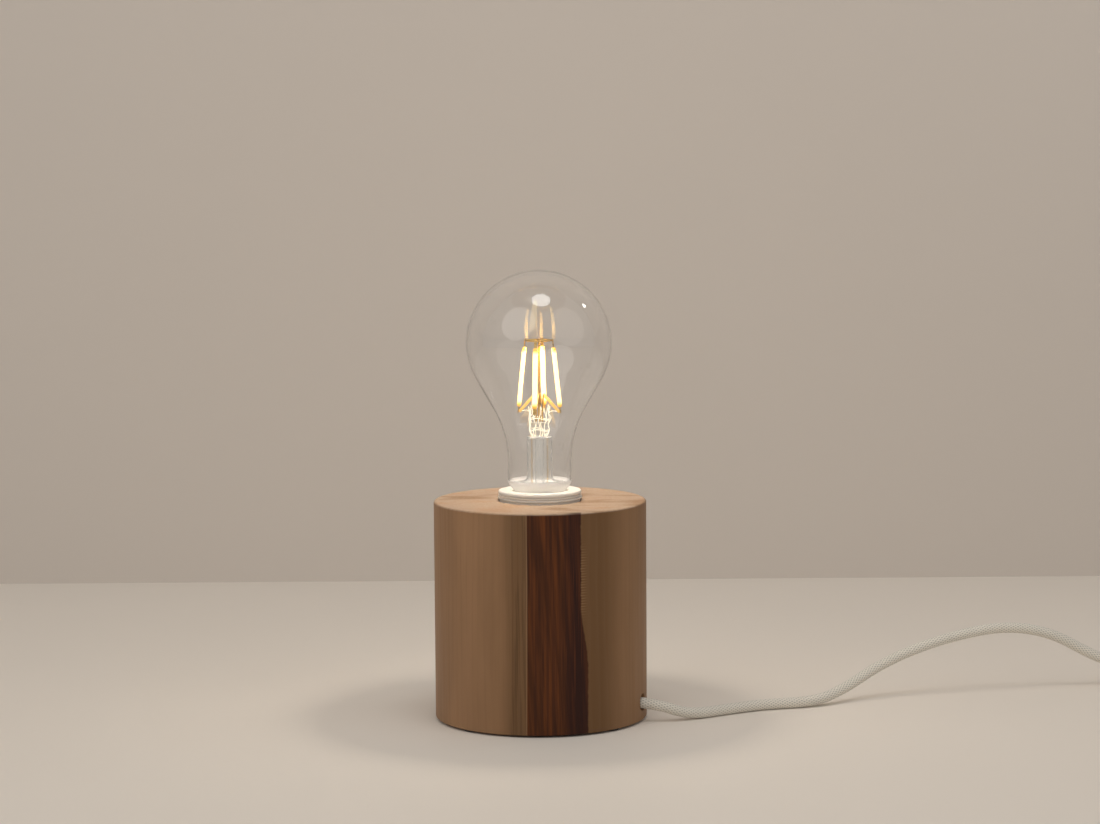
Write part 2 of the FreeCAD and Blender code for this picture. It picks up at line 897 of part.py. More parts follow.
def make_holder_core():
    """Insulating core that carries the terminals and the two contacts."""
    flange_radius = s.holder_radius - s.holder_wall - 2 * s.joint_gap
    bottom = Height.core_bottom
    body = revolved(
        "holder_core",
        [
            (0, bottom),
            (s.core_radius, bottom),
            (s.core_radius, Height.dome_top),
            (flange_radius, Height.dome_top),
            (flange_radius, Height.core_top),
            (0, Height.core_top),
        ],
    )
    entry = new_sketch(body, "terminal_entry", "XY_Plane", bottom)
    screw_hole = new_sketch(body, "terminal_screw_hole", "XZ_Plane")
    for side in (-1, 1):
        across = s.terminal_spread / 2 * side
        draw_circle(entry, across, 0, s.wire_radius + s.screw_gap)
        hole_radius = s.terminal_screw_radius + s.screw_gap
        draw_circle(screw_hole, across, bottom + s.core_depth / 4, hole_radius)
    pocket(body, entry, s.core_depth / 2)
    pocket(body, screw_hole, s.core_radius)


def make_contacts():
    """Sprung strips: one under the tip of the cap, one under the foot of its shell."""
    thick = s.contact_thickness
    foot = Height.core_top
    crest = foot + s.contact_rise
    half_length = s.contact_length / 2
    half_crest = s.contact_crest / 2
    half_foot = half_crest + s.contact_slope
    bend = s.contact_bend
    body = new_body("centre_contact")
    sketch = new_sketch(body, "centre_contact_outline", "XZ_Plane")
    draw_outline(
        sketch,
        [
            (-half_length, foot),
            (-half_foot, foot),
            (-half_crest, crest),
            (half_crest, crest),
            (half_foot, foot),
            (half_length, foot),
            (half_length, foot + thick),
            (half_foot + bend, foot + thick),
            (half_crest + bend, crest + thick),
            (-half_crest - bend, crest + thick),
            (-half_foot - bend, foot + thick),
            (-half_length, foot + thick),
        ],
    )
    pad(body, sketch, s.contact_width, centred=True)
    keep("centre_contact", body)
    outer = s.side_contact_radius
    slope = (s.cap_radius - s.cap_foot_radius) / s.cap_shoulder
    shell_above = Height.cap_foot + (outer - thick - s.cap_foot_radius) / slope
    top = shell_above - s.seat_gap
    body = new_body("side_contact")
    sketch = new_sketch(body, "side_contact_outline", "XZ_Plane")
    draw_outline(
        sketch,
        [
            (outer - s.side_contact_foot, foot),
            (outer, foot),
            (outer, top),
            (outer - thick, top),
            (outer - thick, foot + thick),
            (outer - s.side_contact_foot, foot + thick),
        ],
    )
    pad(body, sketch, s.contact_width, centred=True)
    keep("side_contact", body)


def make_terminal_screws():
    """Each screw runs in from the front of the core and stops against its wire."""
    screws = []
    height = float(Height.core_bottom + s.terminal_rise)
    start = -float(s.wire_radius + s.screw_gap)
    for side, end in ((-1, "neutral"), (1, "live")):
        screw = cylinder(f"terminal_screw_{end}", s.terminal_screw_radius, s.terminal_screw_length)
        across = float(s.terminal_spread) / 2 * side
        screws.append(placed(screw, (across, start, height), V(1, 0, 0), 90))
    keep("terminal_screws", group("terminal_screws", screws))


def make_wires():
    """Two insulated wires from the cord's end, up through the tube, to the terminals."""
    height = float(s.cord_hole_height)
    radius = float(s.wire_radius)
    low = float(Height.tube_bottom - s.wire_drop)
    entry = float(Height.core_bottom)
    jacket_end = float(s.clamp_reach - s.clamp_length / 2 - s.screw_gap)
    bend = float(s.tube_bore + s.wire_reach)
    for label, side in (("wire_live", 1), ("wire_neutral", -1)):
        aside = side * float(s.wire_side)
        terminal = side * float(s.terminal_spread) / 2
        points = [
            beside(jacket_end, aside, height),
            beside(jacket_end - float(s.wire_straight), aside, height),
            beside(bend, aside, low),
            (0, aside, low),
            (0, aside, float(Height.tube_top) + radius),
            (terminal, 0, entry - float(s.wire_fan)),
            (terminal, 0, entry + float(s.wire_end)),
        ]
        wire, _, _ = swept(label, points, s.wire_radius)
        keep(label, wire)


# ---------------------------------------------------------------------------------------------
# Bulb: cap and driver


def make_bulb_cap():
    """Metal shell with its insulator and centre contact, and the cement that holds the glass."""
    foot, top = Height.cap_foot, Height.cap_top
    wall = s.cap_wall
    shoulder = foot + s.cap_shoulder
    revolved(
        "bulb_cap",
        [
            (s.cap_foot_radius - wall, foot),
            (s.cap_foot_radius, foot),
            (s.cap_radius, shoulder),
            (s.cap_radius, top),
            (s.cap_radius - wall, top),
            (s.cap_radius - wall, shoulder),
        ],
    )
    contact_top = Height.cap_tip + s.cap_contact_height
    seam = s.cap_foot_radius - wall - s.insulator_gap
    revolved(
        "cap_insulator",
        [
            (0, contact_top),
            (s.cap_contact_radius, contact_top),
            (seam, foot - s.insulator_edge),
            (seam, foot + s.insulator_edge),
            (0, foot + s.insulator_edge),
        ],
    )
    revolved(
        "cap_contact",
        [
            (0, Height.cap_tip),
            (s.cap_contact_radius - s.cap_contact_height, Height.cap_tip),
            (s.cap_contact_radius, contact_top - s.cap_contact_height / 2),
            (s.cap_contact_radius, contact_top),
            (0, contact_top),
        ],
    )
    cement_top = top - s.seat_gap
    revolved(
        "cap_cement",
        [
            (s.collar_radius, cement_top - s.cement_height),
            (s.cap_radius - wall, cement_top - s.cement_height),
            (s.cap_radius - wall, cement_top),
            (s.collar_radius, cement_top),
        ],
    )


def make_driver():
    """Upright board in the cap, with a capacitor on one face and a chip on the other."""
    board = block("driver_board", s.board_width, s.board_thickness, s.board_height)
    keep("driver_board", lift(board, Height.board_bottom))
    face = s.board_thickness / 2
    middle = Height.board_bottom + s.board_height / 2
    capacitor = cylinder("capacitor", s.capacitor_radius, s.capacitor_length)
    move(capacitor, 0, face + s.capacitor_radius, middle - s.capacitor_length / 2)
    chip = DOC.addObject("Part::Box", "chip")
    bind(chip, Length=s.chip_width, Width=s.chip_thickness, Height=s.chip_height)
    move(chip, s.chip_width / -2, -face - s.chip_thickness, middle - s.chip_height / 2)
    keep("driver_parts", group("driver_parts", [capacitor, chip]))


# ---------------------------------------------------------------------------------------------
# Bulb: blown glass and stem


def glass_profile(inset):
    """Side of the blown glass from collar to crown, moved inwards by inset.

    The cone's length follows from the crown, the neck and the shoulder that it joins."""
    angle = s.cone_angle
    crown = s.crown_radius - inset
    shoulder = s.shoulder_radius + inset
    neck = s.neck_radius - inset
    collar = s.collar_radius - inset
    shoulder_reach = s.shoulder_radius * (1 - cosine(angle))
    cone_length = (s.crown_radius * cosine(angle) - s.neck_radius - shoulder_reach) / sine(angle)
    neck_end = Height.neck_end
    rise = (s.crown_radius + s.shoulder_radius) * sine(angle)
    centre = neck_end + rise + cone_length * cosine(angle)
    return [
        (collar, Height.cap_tip + s.collar_end),
        (collar, Height.cap_tip + s.collar_rise, s.collar_round - inset, False),
        (neck, Height.neck_start),
        (neck, neck_end, shoulder, True),
        (neck + shoulder * (1 - cosine(angle)), neck_end + shoulder * sine(angle)),
        (crown * cosine(angle), centre - crown * sine(angle), crown, False),
        (0, centre + crown),
    ]


def backwards(corners):
    """The same run of corners drawn the other way, with each arc after its new first end."""
    back = []
    for corner, before in zip(corners[::-1], corners[-2::-1] + [()]):
        arc = (before[2], not before[3]) if len(before) > 2 else ()
        back.append((corner[0], corner[1], *arc))
    return back


def make_bulb_glass():
    """Thin blown envelope: collar, neck, hollow shoulder, cone and round crown."""
    revolved("bulb_glass", glass_profile(as_length(0)) + backwards(glass_profile(s.glass_wall)))


def make_glass_stem():
    """Stem tube with a flare that meets the neck, closed at the top by a flat pinch."""
    wall = s.stem_wall
    flare_radius = s.neck_radius - s.glass_wall - s.flare_gap
    flare_edge = Height.neck_start - s.flare_drop
    root = flare_edge + s.flare_rise
    rounding = s.flare_round
    top = Height.stem_top
    body = revolved(
        "glass_stem",
        [
            (flare_radius, flare_edge),
            (s.stem_radius + rounding, root, rounding, True),
            (s.stem_radius, root + rounding),
            (s.stem_radius, top),
            (s.stem_radius - wall, top + wall),
            (0, top + wall),
            (0, top),
            (s.stem_radius - wall, top),
            (s.stem_radius - wall, root + rounding, rounding + wall, False),
            (s.stem_radius + rounding, root - wall),
            (flare_radius, flare_edge - wall),
        ],
    )
    press = new_sketch(body, "pinch_outline", "XY_Plane", Height.pinch_bottom)
    draw_outline(press, rectangle(s.pinch_width, s.pinch_thickness))
    pad(body, press, s.pinch_height)
    dress(body, "Fillet", s.pinch_round, lambda edge: upright(edge, s.pinch_width / 2))


def make_exhaust_tube():
    """Narrow tube that runs down inside the stem, sealed off at its lower end."""
    low = Height.cap_tip + s.exhaust_end
    outer = s.exhaust_radius
    wall = s.exhaust_wall
    top = Height.stem_top
    revolved(
        "exhaust_tube",
        [
            (0, low),
            (outer, low + outer),
            (outer, top),
            (outer - wall, top),
            (outer - wall, low + outer),
            (0, low + wall),
        ],
    )


# ---------------------------------------------------------------------------------------------
# Bulb: filaments and their wires


def filament_angles():
    count = int(float(s.filament_count))
    return [float(s.filament_turn) + 360 / count * number for number in range(count)]


def lean():
    """Angle of a filament from the upright, towards the axis at its top."""
    run = float(s.filament_low_radius - s.filament_high_radius)
    return math.degrees(math.atan2(run, float(Height.lit_high - Height.lit_low)))


def line_radius(height):
    """Radius of a filament's middle line at a height."""
    fall = float(height) - float(Height.lit_low)
    return float(s.filament_low_radius) - fall * math.tan(math.radians(lean()))


def stand(piece, angle, height):
    """Stands a piece on a filament's line at a height, with its broad face outwards."""
    leaning = FreeCAD.Rotation(UP, angle) * FreeCAD.Rotation(V(0, 1, 0), -lean())
    place = V(*around(line_radius(height), angle, height))
    piece.Placement = FreeCAD.Placement(place, leaning)
    return piece


def make_filaments():
    """Lit strips with a metal tab at each end, leaning in towards the ring above."""
    upright_share = math.cos(math.radians(lean()))
    length = (s.filament_high - s.filament_low) / upright_share
    tabs = []
    for number, angle in enumerate(filament_angles(), start=1):
        label = f"led_filament_{number}"
        body = new_body(label)
        sketch = new_sketch(body, f"{label}_section", "XY_Plane")
        draw_outline(sketch, rectangle(s.filament_thickness, s.filament_width))
        pad(body, sketch, length)
        half_width = s.filament_width / 2
        dress(body, "Fillet", s.filament_round, lambda edge: upright(edge, half_width, "y"))
        keep(label, stand(body, angle, Height.lit_low))
        low_start = float(Height.lit_low) - float(s.tab_low_length) * upright_share
        for end, tab_length, start in (
            ("low", s.tab_low_length, low_start),
            ("high", s.tab_high_length, Height.lit_high),
        ):
            plate = block(f"tab_{end}_{number}", s.tab_thickness, s.tab_width, tab_length)
            tabs.append(stand(group(f"tab_{end}_{number}_turned", [plate]), angle, start))
    keep("filament_tabs", group("filament_tabs", tabs))


def make_filament_wires():
    """Leads up the stem, bent arms from the pinch to the low tabs, and the middle post."""
    radius = float(s.lead_radius)
    leads = []
    for side, end in ((-1, "left"), (1, "right")):
        rod = cylinder(f"lead_{end}", s.lead_radius, Height.stem_top - Height.board_top)
        leads.append(move(rod, s.lead_spread * side, 0, Height.board_top))
    keep("lead_wires", group("lead_wires", leads))
    beside_tab = float(s.tab_thickness) / 2 + radius
    tab_foot = float(Height.lit_low) - float(s.tab_low_length)
    weld = tab_foot + float(s.weld_rise)
    arms = []
    for number, angle in enumerate(filament_angles(), start=1):
        points = [
            around(s.arm_foot_radius, angle, Height.pinch_top),
            around(s.arm_foot_radius, angle, Height.cap_tip + s.arm_rise),
            around(line_radius(tab_foot) - beside_tab - float(s.weld_rise), angle, tab_foot),
            around(line_radius(weld) - beside_tab, angle, weld),
        ]
        arm, _, _ = swept(f"arm_{number}", points, s.lead_radius)
        arms.append(arm)
    keep("support_arms", group("support_arms", arms))


def make_top_ring():
    """Wire ring with crossing spokes inside the upper tabs, carried by the middle post."""
    radius = float(s.lead_radius)
    tab_top = float(Height.lit_high) + float(s.tab_high_length) * math.cos(math.radians(lean()))
    height = tab_top - float(s.ring_drop)
    reach = line_radius(height) - float(s.tab_thickness) / 2 - radius
    ring = DOC.addObject("Part::Torus", "ring_wire")
    ring.Radius1 = reach - float(s.ring_sink)
    bind(ring, Radius2=s.lead_radius)
    pieces = [ring]
    for number, angle in enumerate(filament_angles()[:2], start=1):
        rod = cylinder(f"spoke_{number}", s.lead_radius, as_length(2 * float(ring.Radius1)))
        start = around(-float(ring.Radius1), angle, 0)
        heading = V(*around(1, angle, 0))
        rod.Placement = FreeCAD.Placement(V(*start), FreeCAD.Rotation(UP, heading))
        pieces.append(rod)
    hub = cylinder("ring_hub", s.hub_radius, s.hub_height)
    pieces.append(move(hub, 0, 0, s.hub_height / -2))
    whole = fused("top_ring", pieces)
    keep("top_ring", placed(whole, (0, 0, height)))
    post_length = height - float(s.hub_height) / 2 - float(Height.pinch_top)
    post = cylinder("centre_post", s.post_radius, as_length(post_length))
    keep("centre_post", move(post, 0, 0, Height.pinch_top))


# ---------------------------------------------------------------------------------------------
# Cord

# Middle line of the free cord, from inside the hole in the base to inside the switch: out of
# the hole, down to the table, along it, then up in a low arch and down to the switch.
CORD_ROUTE = [
    (36.3, -11.8, 9.4),
    (52.6, -17.1, 9.4),
    (69.5, -12.4, 2.6),
    (88.5, 0.1, 2.6),
    (106.5, 10.6, 2.6),
    (132.0, 15.8, 2.6),
    (147.2, 28.4, 6.6),
    (164.5, 40.0, 15.2),
    (183.5, 46.8, 22.4),
    (205.0, 52.6, 27.9),
    (229.0, 57.5, 31.3),
    (252.0, 60.6, 27.5),
    (273.0, 62.4, 15.5),
    (291.0, 63.0, 8.8),
    (304.0, 63.0, 8.5),
]

# From the switch round to the lowest turn of the coil.
LINK_ROUTE = [
    (360.0, 63.0, 8.5),
    (372.2, 62.9, 8.4),
    (384.0, 58.9, 8.0),
    (393.5, 50.4, 7.2),
    (399.0, 38.8, 5.9),
    (400.4, 25.0, 4.4),
    (399.8, 11.4, 3.7),
]

# From the top turn of the coil down to the strain relief of the plug.
TAIL_ROUTE = [
    (399.8, 10.0, 14.1),
    (399.8, -2.0, 13.0),
    (399.5, -16.0, 9.6),
    (398.0, -30.0, 5.3),
    (393.6, -44.5, 2.9),
    (384.5, -57.6, 2.6),
    (371.5, -66.8, 3.6),
    (357.0, -70.0, 6.3),
    (344.0, -70.0, 6.85),
]


def make_cords():
    """The held end of the cord and its free stretches, with their bend radii printed."""
    inner_end = math.hypot(CORD_ROUTE[0][0], CORD_ROUTE[0][1])
    jacket_end = float(s.clamp_reach - s.clamp_length / 2)
    held = cylinder("cord_inner", s.cord_radius, as_length(inner_end - jacket_end))
    heading = V(*around(1, s.cord_azimuth, 0))
    start = V(*around(jacket_end, s.cord_azimuth, s.cord_hole_height))
    held.Placement = FreeCAD.Placement(start, FreeCAD.Rotation(UP, heading))
    keep("cord_inner", held)
    for label, route in (
        ("cord", CORD_ROUTE),
        ("cord_link", LINK_ROUTE),
        ("cord_tail", TAIL_ROUTE),
    ):
        tube, radii, length = swept(label, route, s.cord_radius)
        keep(label, tube)
        print(label, "length", round(length, 1), "bend radii", [round(bend, 1) for bend in radii])


def make_cord_coil():
    """Outer shape of the coiled cord, with a band of paper round it."""
    radius = s.cord_radius
    half_width = s.coil_layers * radius
    bottom = Height.coil_bottom
    top = bottom + 2 * s.coil_layers * radius
    inner = s.coil_mean_radius - half_width
    outer = s.coil_mean_radius + half_width
    coil = revolved(
        "cord_coil",
        [
            (inner + radius, bottom),
            (outer - radius, bottom, radius, False),
            (outer, bottom + radius),
            (outer, top - radius, radius, False),
            (outer - radius, top),
            (inner + radius, top, radius, False),
            (inner, top - radius),
            (inner, bottom + radius, radius, False),
        ],
    )
    move(coil, s.coil_centre_x, s.coil_centre_y, 0)
    band = new_body("coil_tie")
    sketch = new_sketch(band, "coil_tie_outline", "XZ_Plane")
    gap, thick = s.tie_gap, s.tie_thickness
    for spare in (gap, gap + thick):
        draw_outline(
            sketch,
            [
                (inner - spare, bottom - spare),
                (outer + spare, bottom - spare),
                (outer + spare, top + spare),
                (inner - spare, top + spare),
            ],
        )
    pad(band, sketch, s.tie_width, centred=True)
    dress(band, "Fillet", s.tie_round, lambda edge: across_band(edge, outer + gap + thick))
    place = (s.coil_centre_x, s.coil_centre_y, 0)
    keep("coil_tie", placed(band, place, UP, s.tie_angle))


def across_band(edge, reach):
    """An outer corner edge of the band, which runs along Y."""
    box = edge.BoundBox
    straight = box.YLength > float(s.tie_width) * 0.9
    outside = near(box.XMax, reach) or near(box.XMax, 2 * float(s.coil_mean_radius) - float(reach))
    return straight and outside


# ---------------------------------------------------------------------------------------------
# In-line switch


def switch_outline(inset):
    """Plan of the housing, with shoulders that curve in to the cord entries."""
    half_length = s.switch_length / 2 - inset
    half_width = s.switch_width / 2 - inset
    half_end = s.switch_end_width / 2 - inset / 2
    shoulder = half_length - s.switch_shoulder
    rounding = s.switch_shoulder_round
    return [
        (-half_length, -half_end, rounding, False),
        (-shoulder, -half_width),
        (shoulder, -half_width, rounding, False),
        (half_length, -half_end),
        (half_length, half_end, rounding, False),
        (shoulder, half_width),
        (-shoulder, half_width, rounding, False),
        (-half_length, half_end),
    ]


def switch_posts(sketch, radius):
    """Two posts on opposite sides of the cord."""
    for side in (-1, 1):
        draw_circle(sketch, s.switch_screw_reach * side, s.switch_screw_side * -side, radius)
    return sketch


def make_switch_bottom():
    """Lower half on the table, with two screw posts."""
    label = "switch_housing_bottom"
    body = new_body(label)
    outline = new_sketch(body, "switch_bottom_outline", "XY_Plane")
    draw_outline(outline, switch_outline(as_length(0)))
    pad(body, outline, s.switch_split)
    dress(body, "Fillet", s.switch_round, lambda edge: level(edge, 0))
    cavity = new_sketch(body, "switch_bottom_cavity", "XY_Plane", s.switch_wall)
    draw_outline(cavity, switch_outline(s.switch_wall))
    pocket(body, cavity, s.switch_split)
    posts = new_sketch(body, "switch_bottom_posts", "XY_Plane", s.switch_wall / 2)
    switch_posts(posts, s.switch_boss_radius)
    pad(body, posts, s.switch_split - s.switch_wall / 2)
    heads = new_sketch(body, "switch_head_recess", "XY_Plane")
    switch_posts(heads, s.switch_screw_head + s.screw_gap)
    pocket(body, heads, 2 * s.switch_screw_sink)
    holes = new_sketch(body, "switch_screw_hole", "XY_Plane")
    switch_posts(holes, s.switch_screw_radius + s.screw_gap)
    pocket(body, holes, s.switch_split)
    cord_entries(body, "switch_bottom_entry")
    place_switch_piece(label, body)


def make_switch_top():
    """Upper half with the rocker's window and the two lugs that carry its pins."""
    label = "switch_housing_top"
    body = new_body(label)
    outline = new_sketch(body, "switch_top_outline", "XY_Plane", s.switch_split)
    draw_outline(outline, switch_outline(as_length(0)))
    pad(body, outline, s.switch_height - s.switch_split)
    dress(body, "Fillet", s.switch_round, lambda edge: level(edge, s.switch_height))
    cavity = new_sketch(body, "switch_top_cavity", "XY_Plane", s.switch_split)
    draw_outline(cavity, switch_outline(s.switch_wall))
    pocket(body, cavity, s.switch_height - s.switch_wall - s.switch_split)
    posts = new_sketch(body, "switch_top_posts", "XY_Plane", s.switch_split)
    switch_posts(posts, s.switch_boss_radius)
    pad(body, posts, s.switch_height - s.switch_wall / 2 - s.switch_split)
    holes = new_sketch(body, "switch_pilot_hole", "XY_Plane", s.switch_split)
    switch_posts(holes, s.switch_screw_radius + s.screw_gap)
    pocket(body, holes, s.switch_height - s.switch_wall - s.switch_split)
    lugs = new_sketch(body, "rocker_lugs", "XY_Plane", lug_bottom())
    near_side = s.rocker_width / 2 + s.rocker_side_gap
    far_side = near_side + s.rocker_lug_thickness
    half_lug = s.rocker_lug_width / 2
    for side in (-1, 1):
        draw_outline(
            lugs,
            [
                (-half_lug, near_side * side),
                (half_lug, near_side * side),
                (half_lug, far_side * side),
                (-half_lug, far_side * side),
            ],
        )
    pad(body, lugs, s.switch_height - s.switch_wall / 2 - lug_bottom())
    window = new_sketch(body, "rocker_window", "XY_Plane", s.switch_height)
    window_length = s.rocker_length + 2 * s.rocker_end_gap
    window_width = s.rocker_width + 2 * s.rocker_side_gap
    draw_outline(window, rectangle(window_length, window_width))
    pocket(body, window, s.switch_height - s.switch_split, forwards=False)
    bearing = new_sketch(body, "rocker_bearing", "XZ_Plane", far_side)
    draw_circle(bearing, 0, s.rocker_pivot_height, s.rocker_pin_radius + s.rocker_pin_gap)
    pocket(body, bearing, 2 * far_side, forwards=False)
    cord_entries(body, "switch_top_entry")
    place_switch_piece(label, body)


def lug_bottom():
    return s.rocker_pivot_height - 2 * s.rocker_pin_radius


def cord_entries(body, name):
    """A round hole through both ends, split between the two halves of the housing."""
    sketch = new_sketch(body, name, "YZ_Plane", s.switch_length / -2)
    draw_circle(sketch, 0, s.switch_split, s.cord_radius + s.screw_gap)
    pocket(body, sketch, s.switch_length)


def place_switch_piece(label, piece):
    return keep(label, move(piece, s.switch_x, s.switch_y, 0))


def make_switch_inside():
    """Terminal blocks on the floor and the two screws that close the housing."""
    blocks = []
    size = s.terminal_block
    for along, along_name in ((-1, "left"), (1, "right")):
        for across, across_name in ((-1, "front"), (1, "back")):
            name = f"terminal_{along_name}_{across_name}"
            piece = DOC.addObject("Part::Box", name)
            bind(piece, Length=size, Width=size, Height=s.terminal_block_height)
            x = s.switch_x + s.rocker_length / 2 * along - size / 2
            y = s.switch_y + (size / 2 + s.screw_gap) * across - size / 2
            blocks.append(move(piece, x, y, s.switch_wall))
    keep("switch_terminals", group("switch_terminals", blocks))
    screws = []
    for side, end in ((-1, "left"), (1, "right")):
        head = cylinder(f"switch_head_{end}", s.switch_screw_head, s.switch_screw_sink)
        length = s.switch_height - s.switch_wall - 2 * s.switch_screw_sink - s.seat_gap
        shank = cylinder(f"switch_shank_{end}", s.switch_screw_radius, length)
        move(shank, 0, 0, s.switch_screw_sink)
        screw = fused(f"switch_screw_{end}", [head, shank])
        x = s.switch_x + s.switch_screw_reach * side
        screws.append(move(screw, x, s.switch_y - s.switch_screw_side * side, s.switch_screw_sink))
    keep("switch_screws", group("switch_screws", screws))


def make_rocker():
    """Rocker on its own pins, modelled about its pivot and laid over to its on side."""
    half = s.rocker_length / 2
    crown = s.rocker_crown
    tilt = s.rocker_tilt
    end_top = crown + half * sine(tilt) / cosine(tilt)
    boss = s.rocker_boss_width / 2
    root = s.rocker_boss_root / 2
    floor = -s.rocker_skirt
    body = new_body("switch_rocker")
    sketch = new_sketch(body, "rocker_outline", "XZ_Plane")
    draw_outline(
        sketch,
        [
            (-half, floor),
            (-root, floor),
            (-boss, -s.rocker_boss_depth),
            (boss, -s.rocker_boss_depth),
            (root, floor),
            (half, floor),
            (half, end_top),
            (0, crown),
            (-half, end_top),
        ],
    )
    pad(body, sketch, s.rocker_width, centred=True)
    pin = new_sketch(body, "rocker_pin", "XZ_Plane")
    draw_circle(pin, 0, 0, s.rocker_pin_radius)
    pad(body, pin, s.rocker_width + 2 * s.rocker_pin_reach, centred=True)
    place = (s.switch_x, s.switch_y, s.rocker_pivot_height)
    keep("switch_rocker", placed(body, place, V(0, 1, 0), s.rocker_tilt))


# ---------------------------------------------------------------------------------------------
# Plug


def make_plug():
    """Flat two-pin plug lying on its side, with its pins towards -X."""
    body = new_body("plug_body")
    sketch = new_sketch(body, "plug_outline", "XY_Plane")
    half = s.plug_width / 2
    tail = s.plug_tail_width / 2
    draw_outline(
        sketch,
        [
            (0, -half),
            (s.plug_straight, -half),
            (s.plug_length, -tail),
            (s.plug_length, tail),
            (s.plug_straight, half),
            (0, half),
        ],
    )
    pad(body, sketch, s.plug_thickness)
    dress(body, "Fillet", s.plug_round, plug_long_edge)
    keep("plug_body", move(body, s.plug_face_x, s.plug_y, 0))
    axis_height = float(s.plug_thickness / 2)
    pins = []
    sleeves = []
    for side, end in ((-1, "front"), (1, "back")):
        place = (float(s.plug_face_x), float(s.plug_y + s.pin_spacing / 2 * side), axis_height)
        core = cylinder(f"pin_core_{end}", s.pin_core_radius, s.pin_length - 2 * s.pin_radius)
        bare = cylinder(
            f"pin_bare_{end}", s.pin_radius, s.pin_length - s.pin_sleeve_length - s.pin_radius
        )
        move(bare, 0, 0, s.pin_sleeve_length)
        tip = DOC.addObject("Part::Sphere", f"pin_tip_{end}")
        bind(tip, Radius=s.pin_radius)
        move(tip, 0, 0, s.pin_length - s.pin_radius)
        pin = fused(f"pin_{end}", [core, bare, tip])
        pins.append(placed(pin, place, V(0, 1, 0), -90))
        sheath = cylinder(f"sheath_{end}", s.pin_sleeve_radius, s.pin_sleeve_length)
        bore = cylinder(f"sheath_bore_{end}", s.pin_core_radius, s.pin_sleeve_length)
        sleeve = cut(f"sleeve_{end}", sheath, bore)
        sleeves.append(placed(sleeve, place, V(0, 1, 0), -90))
    keep("plug_pins", group("plug_pins", pins))
    keep("plug_pin_sleeves", group("plug_pin_sleeves", sleeves))


def plug_long_edge(edge):
    """An edge of the plug's top or underside that isn't at its pin face."""
    box = edge.BoundBox
    flat = near(box.ZLength, 0) and (near(box.ZMin, 0) or near(box.ZMin, s.plug_thickness))
    return flat and box.XMax > 1 and not near(box.XMin, s.plug_length)


def make_plug_relief():
    """Ribbed sleeve where the cord enters the plug."""
    start, end = s.relief_radius, s.relief_end_radius
    steps = 2 * int(float(s.relief_ribs)) - 1
    step_length = s.relief_length / steps
    outline = [(0, 0)]
    for step in range(steps):
        radius = start + (end - start) * ((step + 0.5) / steps)
        if step % 2:
            radius = radius - s.relief_groove
        outline.append((radius, step_length * step))
        outline.append((radius, step_length * (step + 1)))
    outline.append((0, s.relief_length))
    relief = revolved("plug_relief", outline)
    face = float(s.plug_face_x + s.plug_length)
    place = (face, float(s.plug_y), float(s.plug_thickness / 2))
    placed(relief, place, V(0, 1, 0), 90)


# ---------------------------------------------------------------------------------------------
# Checking and writing


def check_document():
    DOC.recompute()
    for piece in DOC.Objects:
        if "Invalid" in piece.State or "Error" in piece.State:
            raise RuntimeError(f"{piece.Name}: {piece.State}")
    for label, piece in NODES.items():
        shape = piece.Shape
        if shape.isNull() or not shape.isValid() or not shape.Solids:
            raise RuntimeError(f"{label}: its shape is null, invalid or holds no solid")


def write_nodes():
    os.makedirs("parts", exist_ok=True)
    for label, piece in NODES.items():
        piece.Shape.exportStep(f"parts/{label}.step")
    print(len(NODES), "nodes")


def main():
    make_wood_base()
    make_feet()
    make_bottom_plate()
    make_plate_screws()
    make_fixing()
    make_cord_clamp()
    make_holder_dome()
    make_holder_skirt()
    make_holder_core()
    make_contacts()
    make_terminal_screws()
    make_wires()
    make_bulb_cap()
    make_driver()
    make_bulb_glass()
    make_glass_stem()
    make_exhaust_tube()
    make_filaments()
    make_filament_wires()
    make_top_ring()
    make_cords()
    make_cord_coil()
    make_switch_bottom()
    make_switch_top()
    make_switch_inside()
    make_rocker()
    make_plug()
    make_plug_relief()
    check_document()
    write_nodes()


main()
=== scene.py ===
import math

import bpy
from mathutils import Matrix, Vector


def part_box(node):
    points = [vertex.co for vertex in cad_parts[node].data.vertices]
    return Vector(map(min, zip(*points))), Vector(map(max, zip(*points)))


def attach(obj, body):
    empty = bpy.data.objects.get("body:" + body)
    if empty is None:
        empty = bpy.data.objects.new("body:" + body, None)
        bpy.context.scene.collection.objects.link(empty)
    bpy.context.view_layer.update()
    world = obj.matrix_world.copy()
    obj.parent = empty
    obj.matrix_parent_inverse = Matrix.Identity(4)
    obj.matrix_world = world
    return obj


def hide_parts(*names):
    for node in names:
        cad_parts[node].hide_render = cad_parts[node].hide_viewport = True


bl_info = {
    "name": "Bare bulb table lamp",
    "version": (1, 0, 0),
    "blender": (4, 5, 0),
    "location": "View3D > Sidebar > Lamp",
    "description": "Wood, glass, filaments and cloth cord of a bare bulb table lamp",
    "category": "Object",
}

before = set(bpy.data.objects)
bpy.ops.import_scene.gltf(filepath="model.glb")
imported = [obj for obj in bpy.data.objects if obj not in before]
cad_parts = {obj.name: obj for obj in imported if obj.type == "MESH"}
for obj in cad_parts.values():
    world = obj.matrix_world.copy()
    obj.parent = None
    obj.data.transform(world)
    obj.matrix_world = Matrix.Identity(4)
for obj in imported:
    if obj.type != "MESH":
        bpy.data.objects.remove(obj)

MM = 0.001
WELD = 0.002 * MM
SPLINE_ORDER = 3


def srgb(red, green, blue):
    """Linear colour of an 8-bit screen colour."""
    return tuple(
        part / 12.92 if part <= 0.04045 else ((part + 0.055) / 1.055) ** 2.4
        for part in (red / 255, green / 255, blue / 255)
    )


def low_end(node):
    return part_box(node)[0]


def high_end(node):
    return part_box(node)[1]


# ---------------------------------------------------------------------------------------------
# Sizes and colours that a user would change


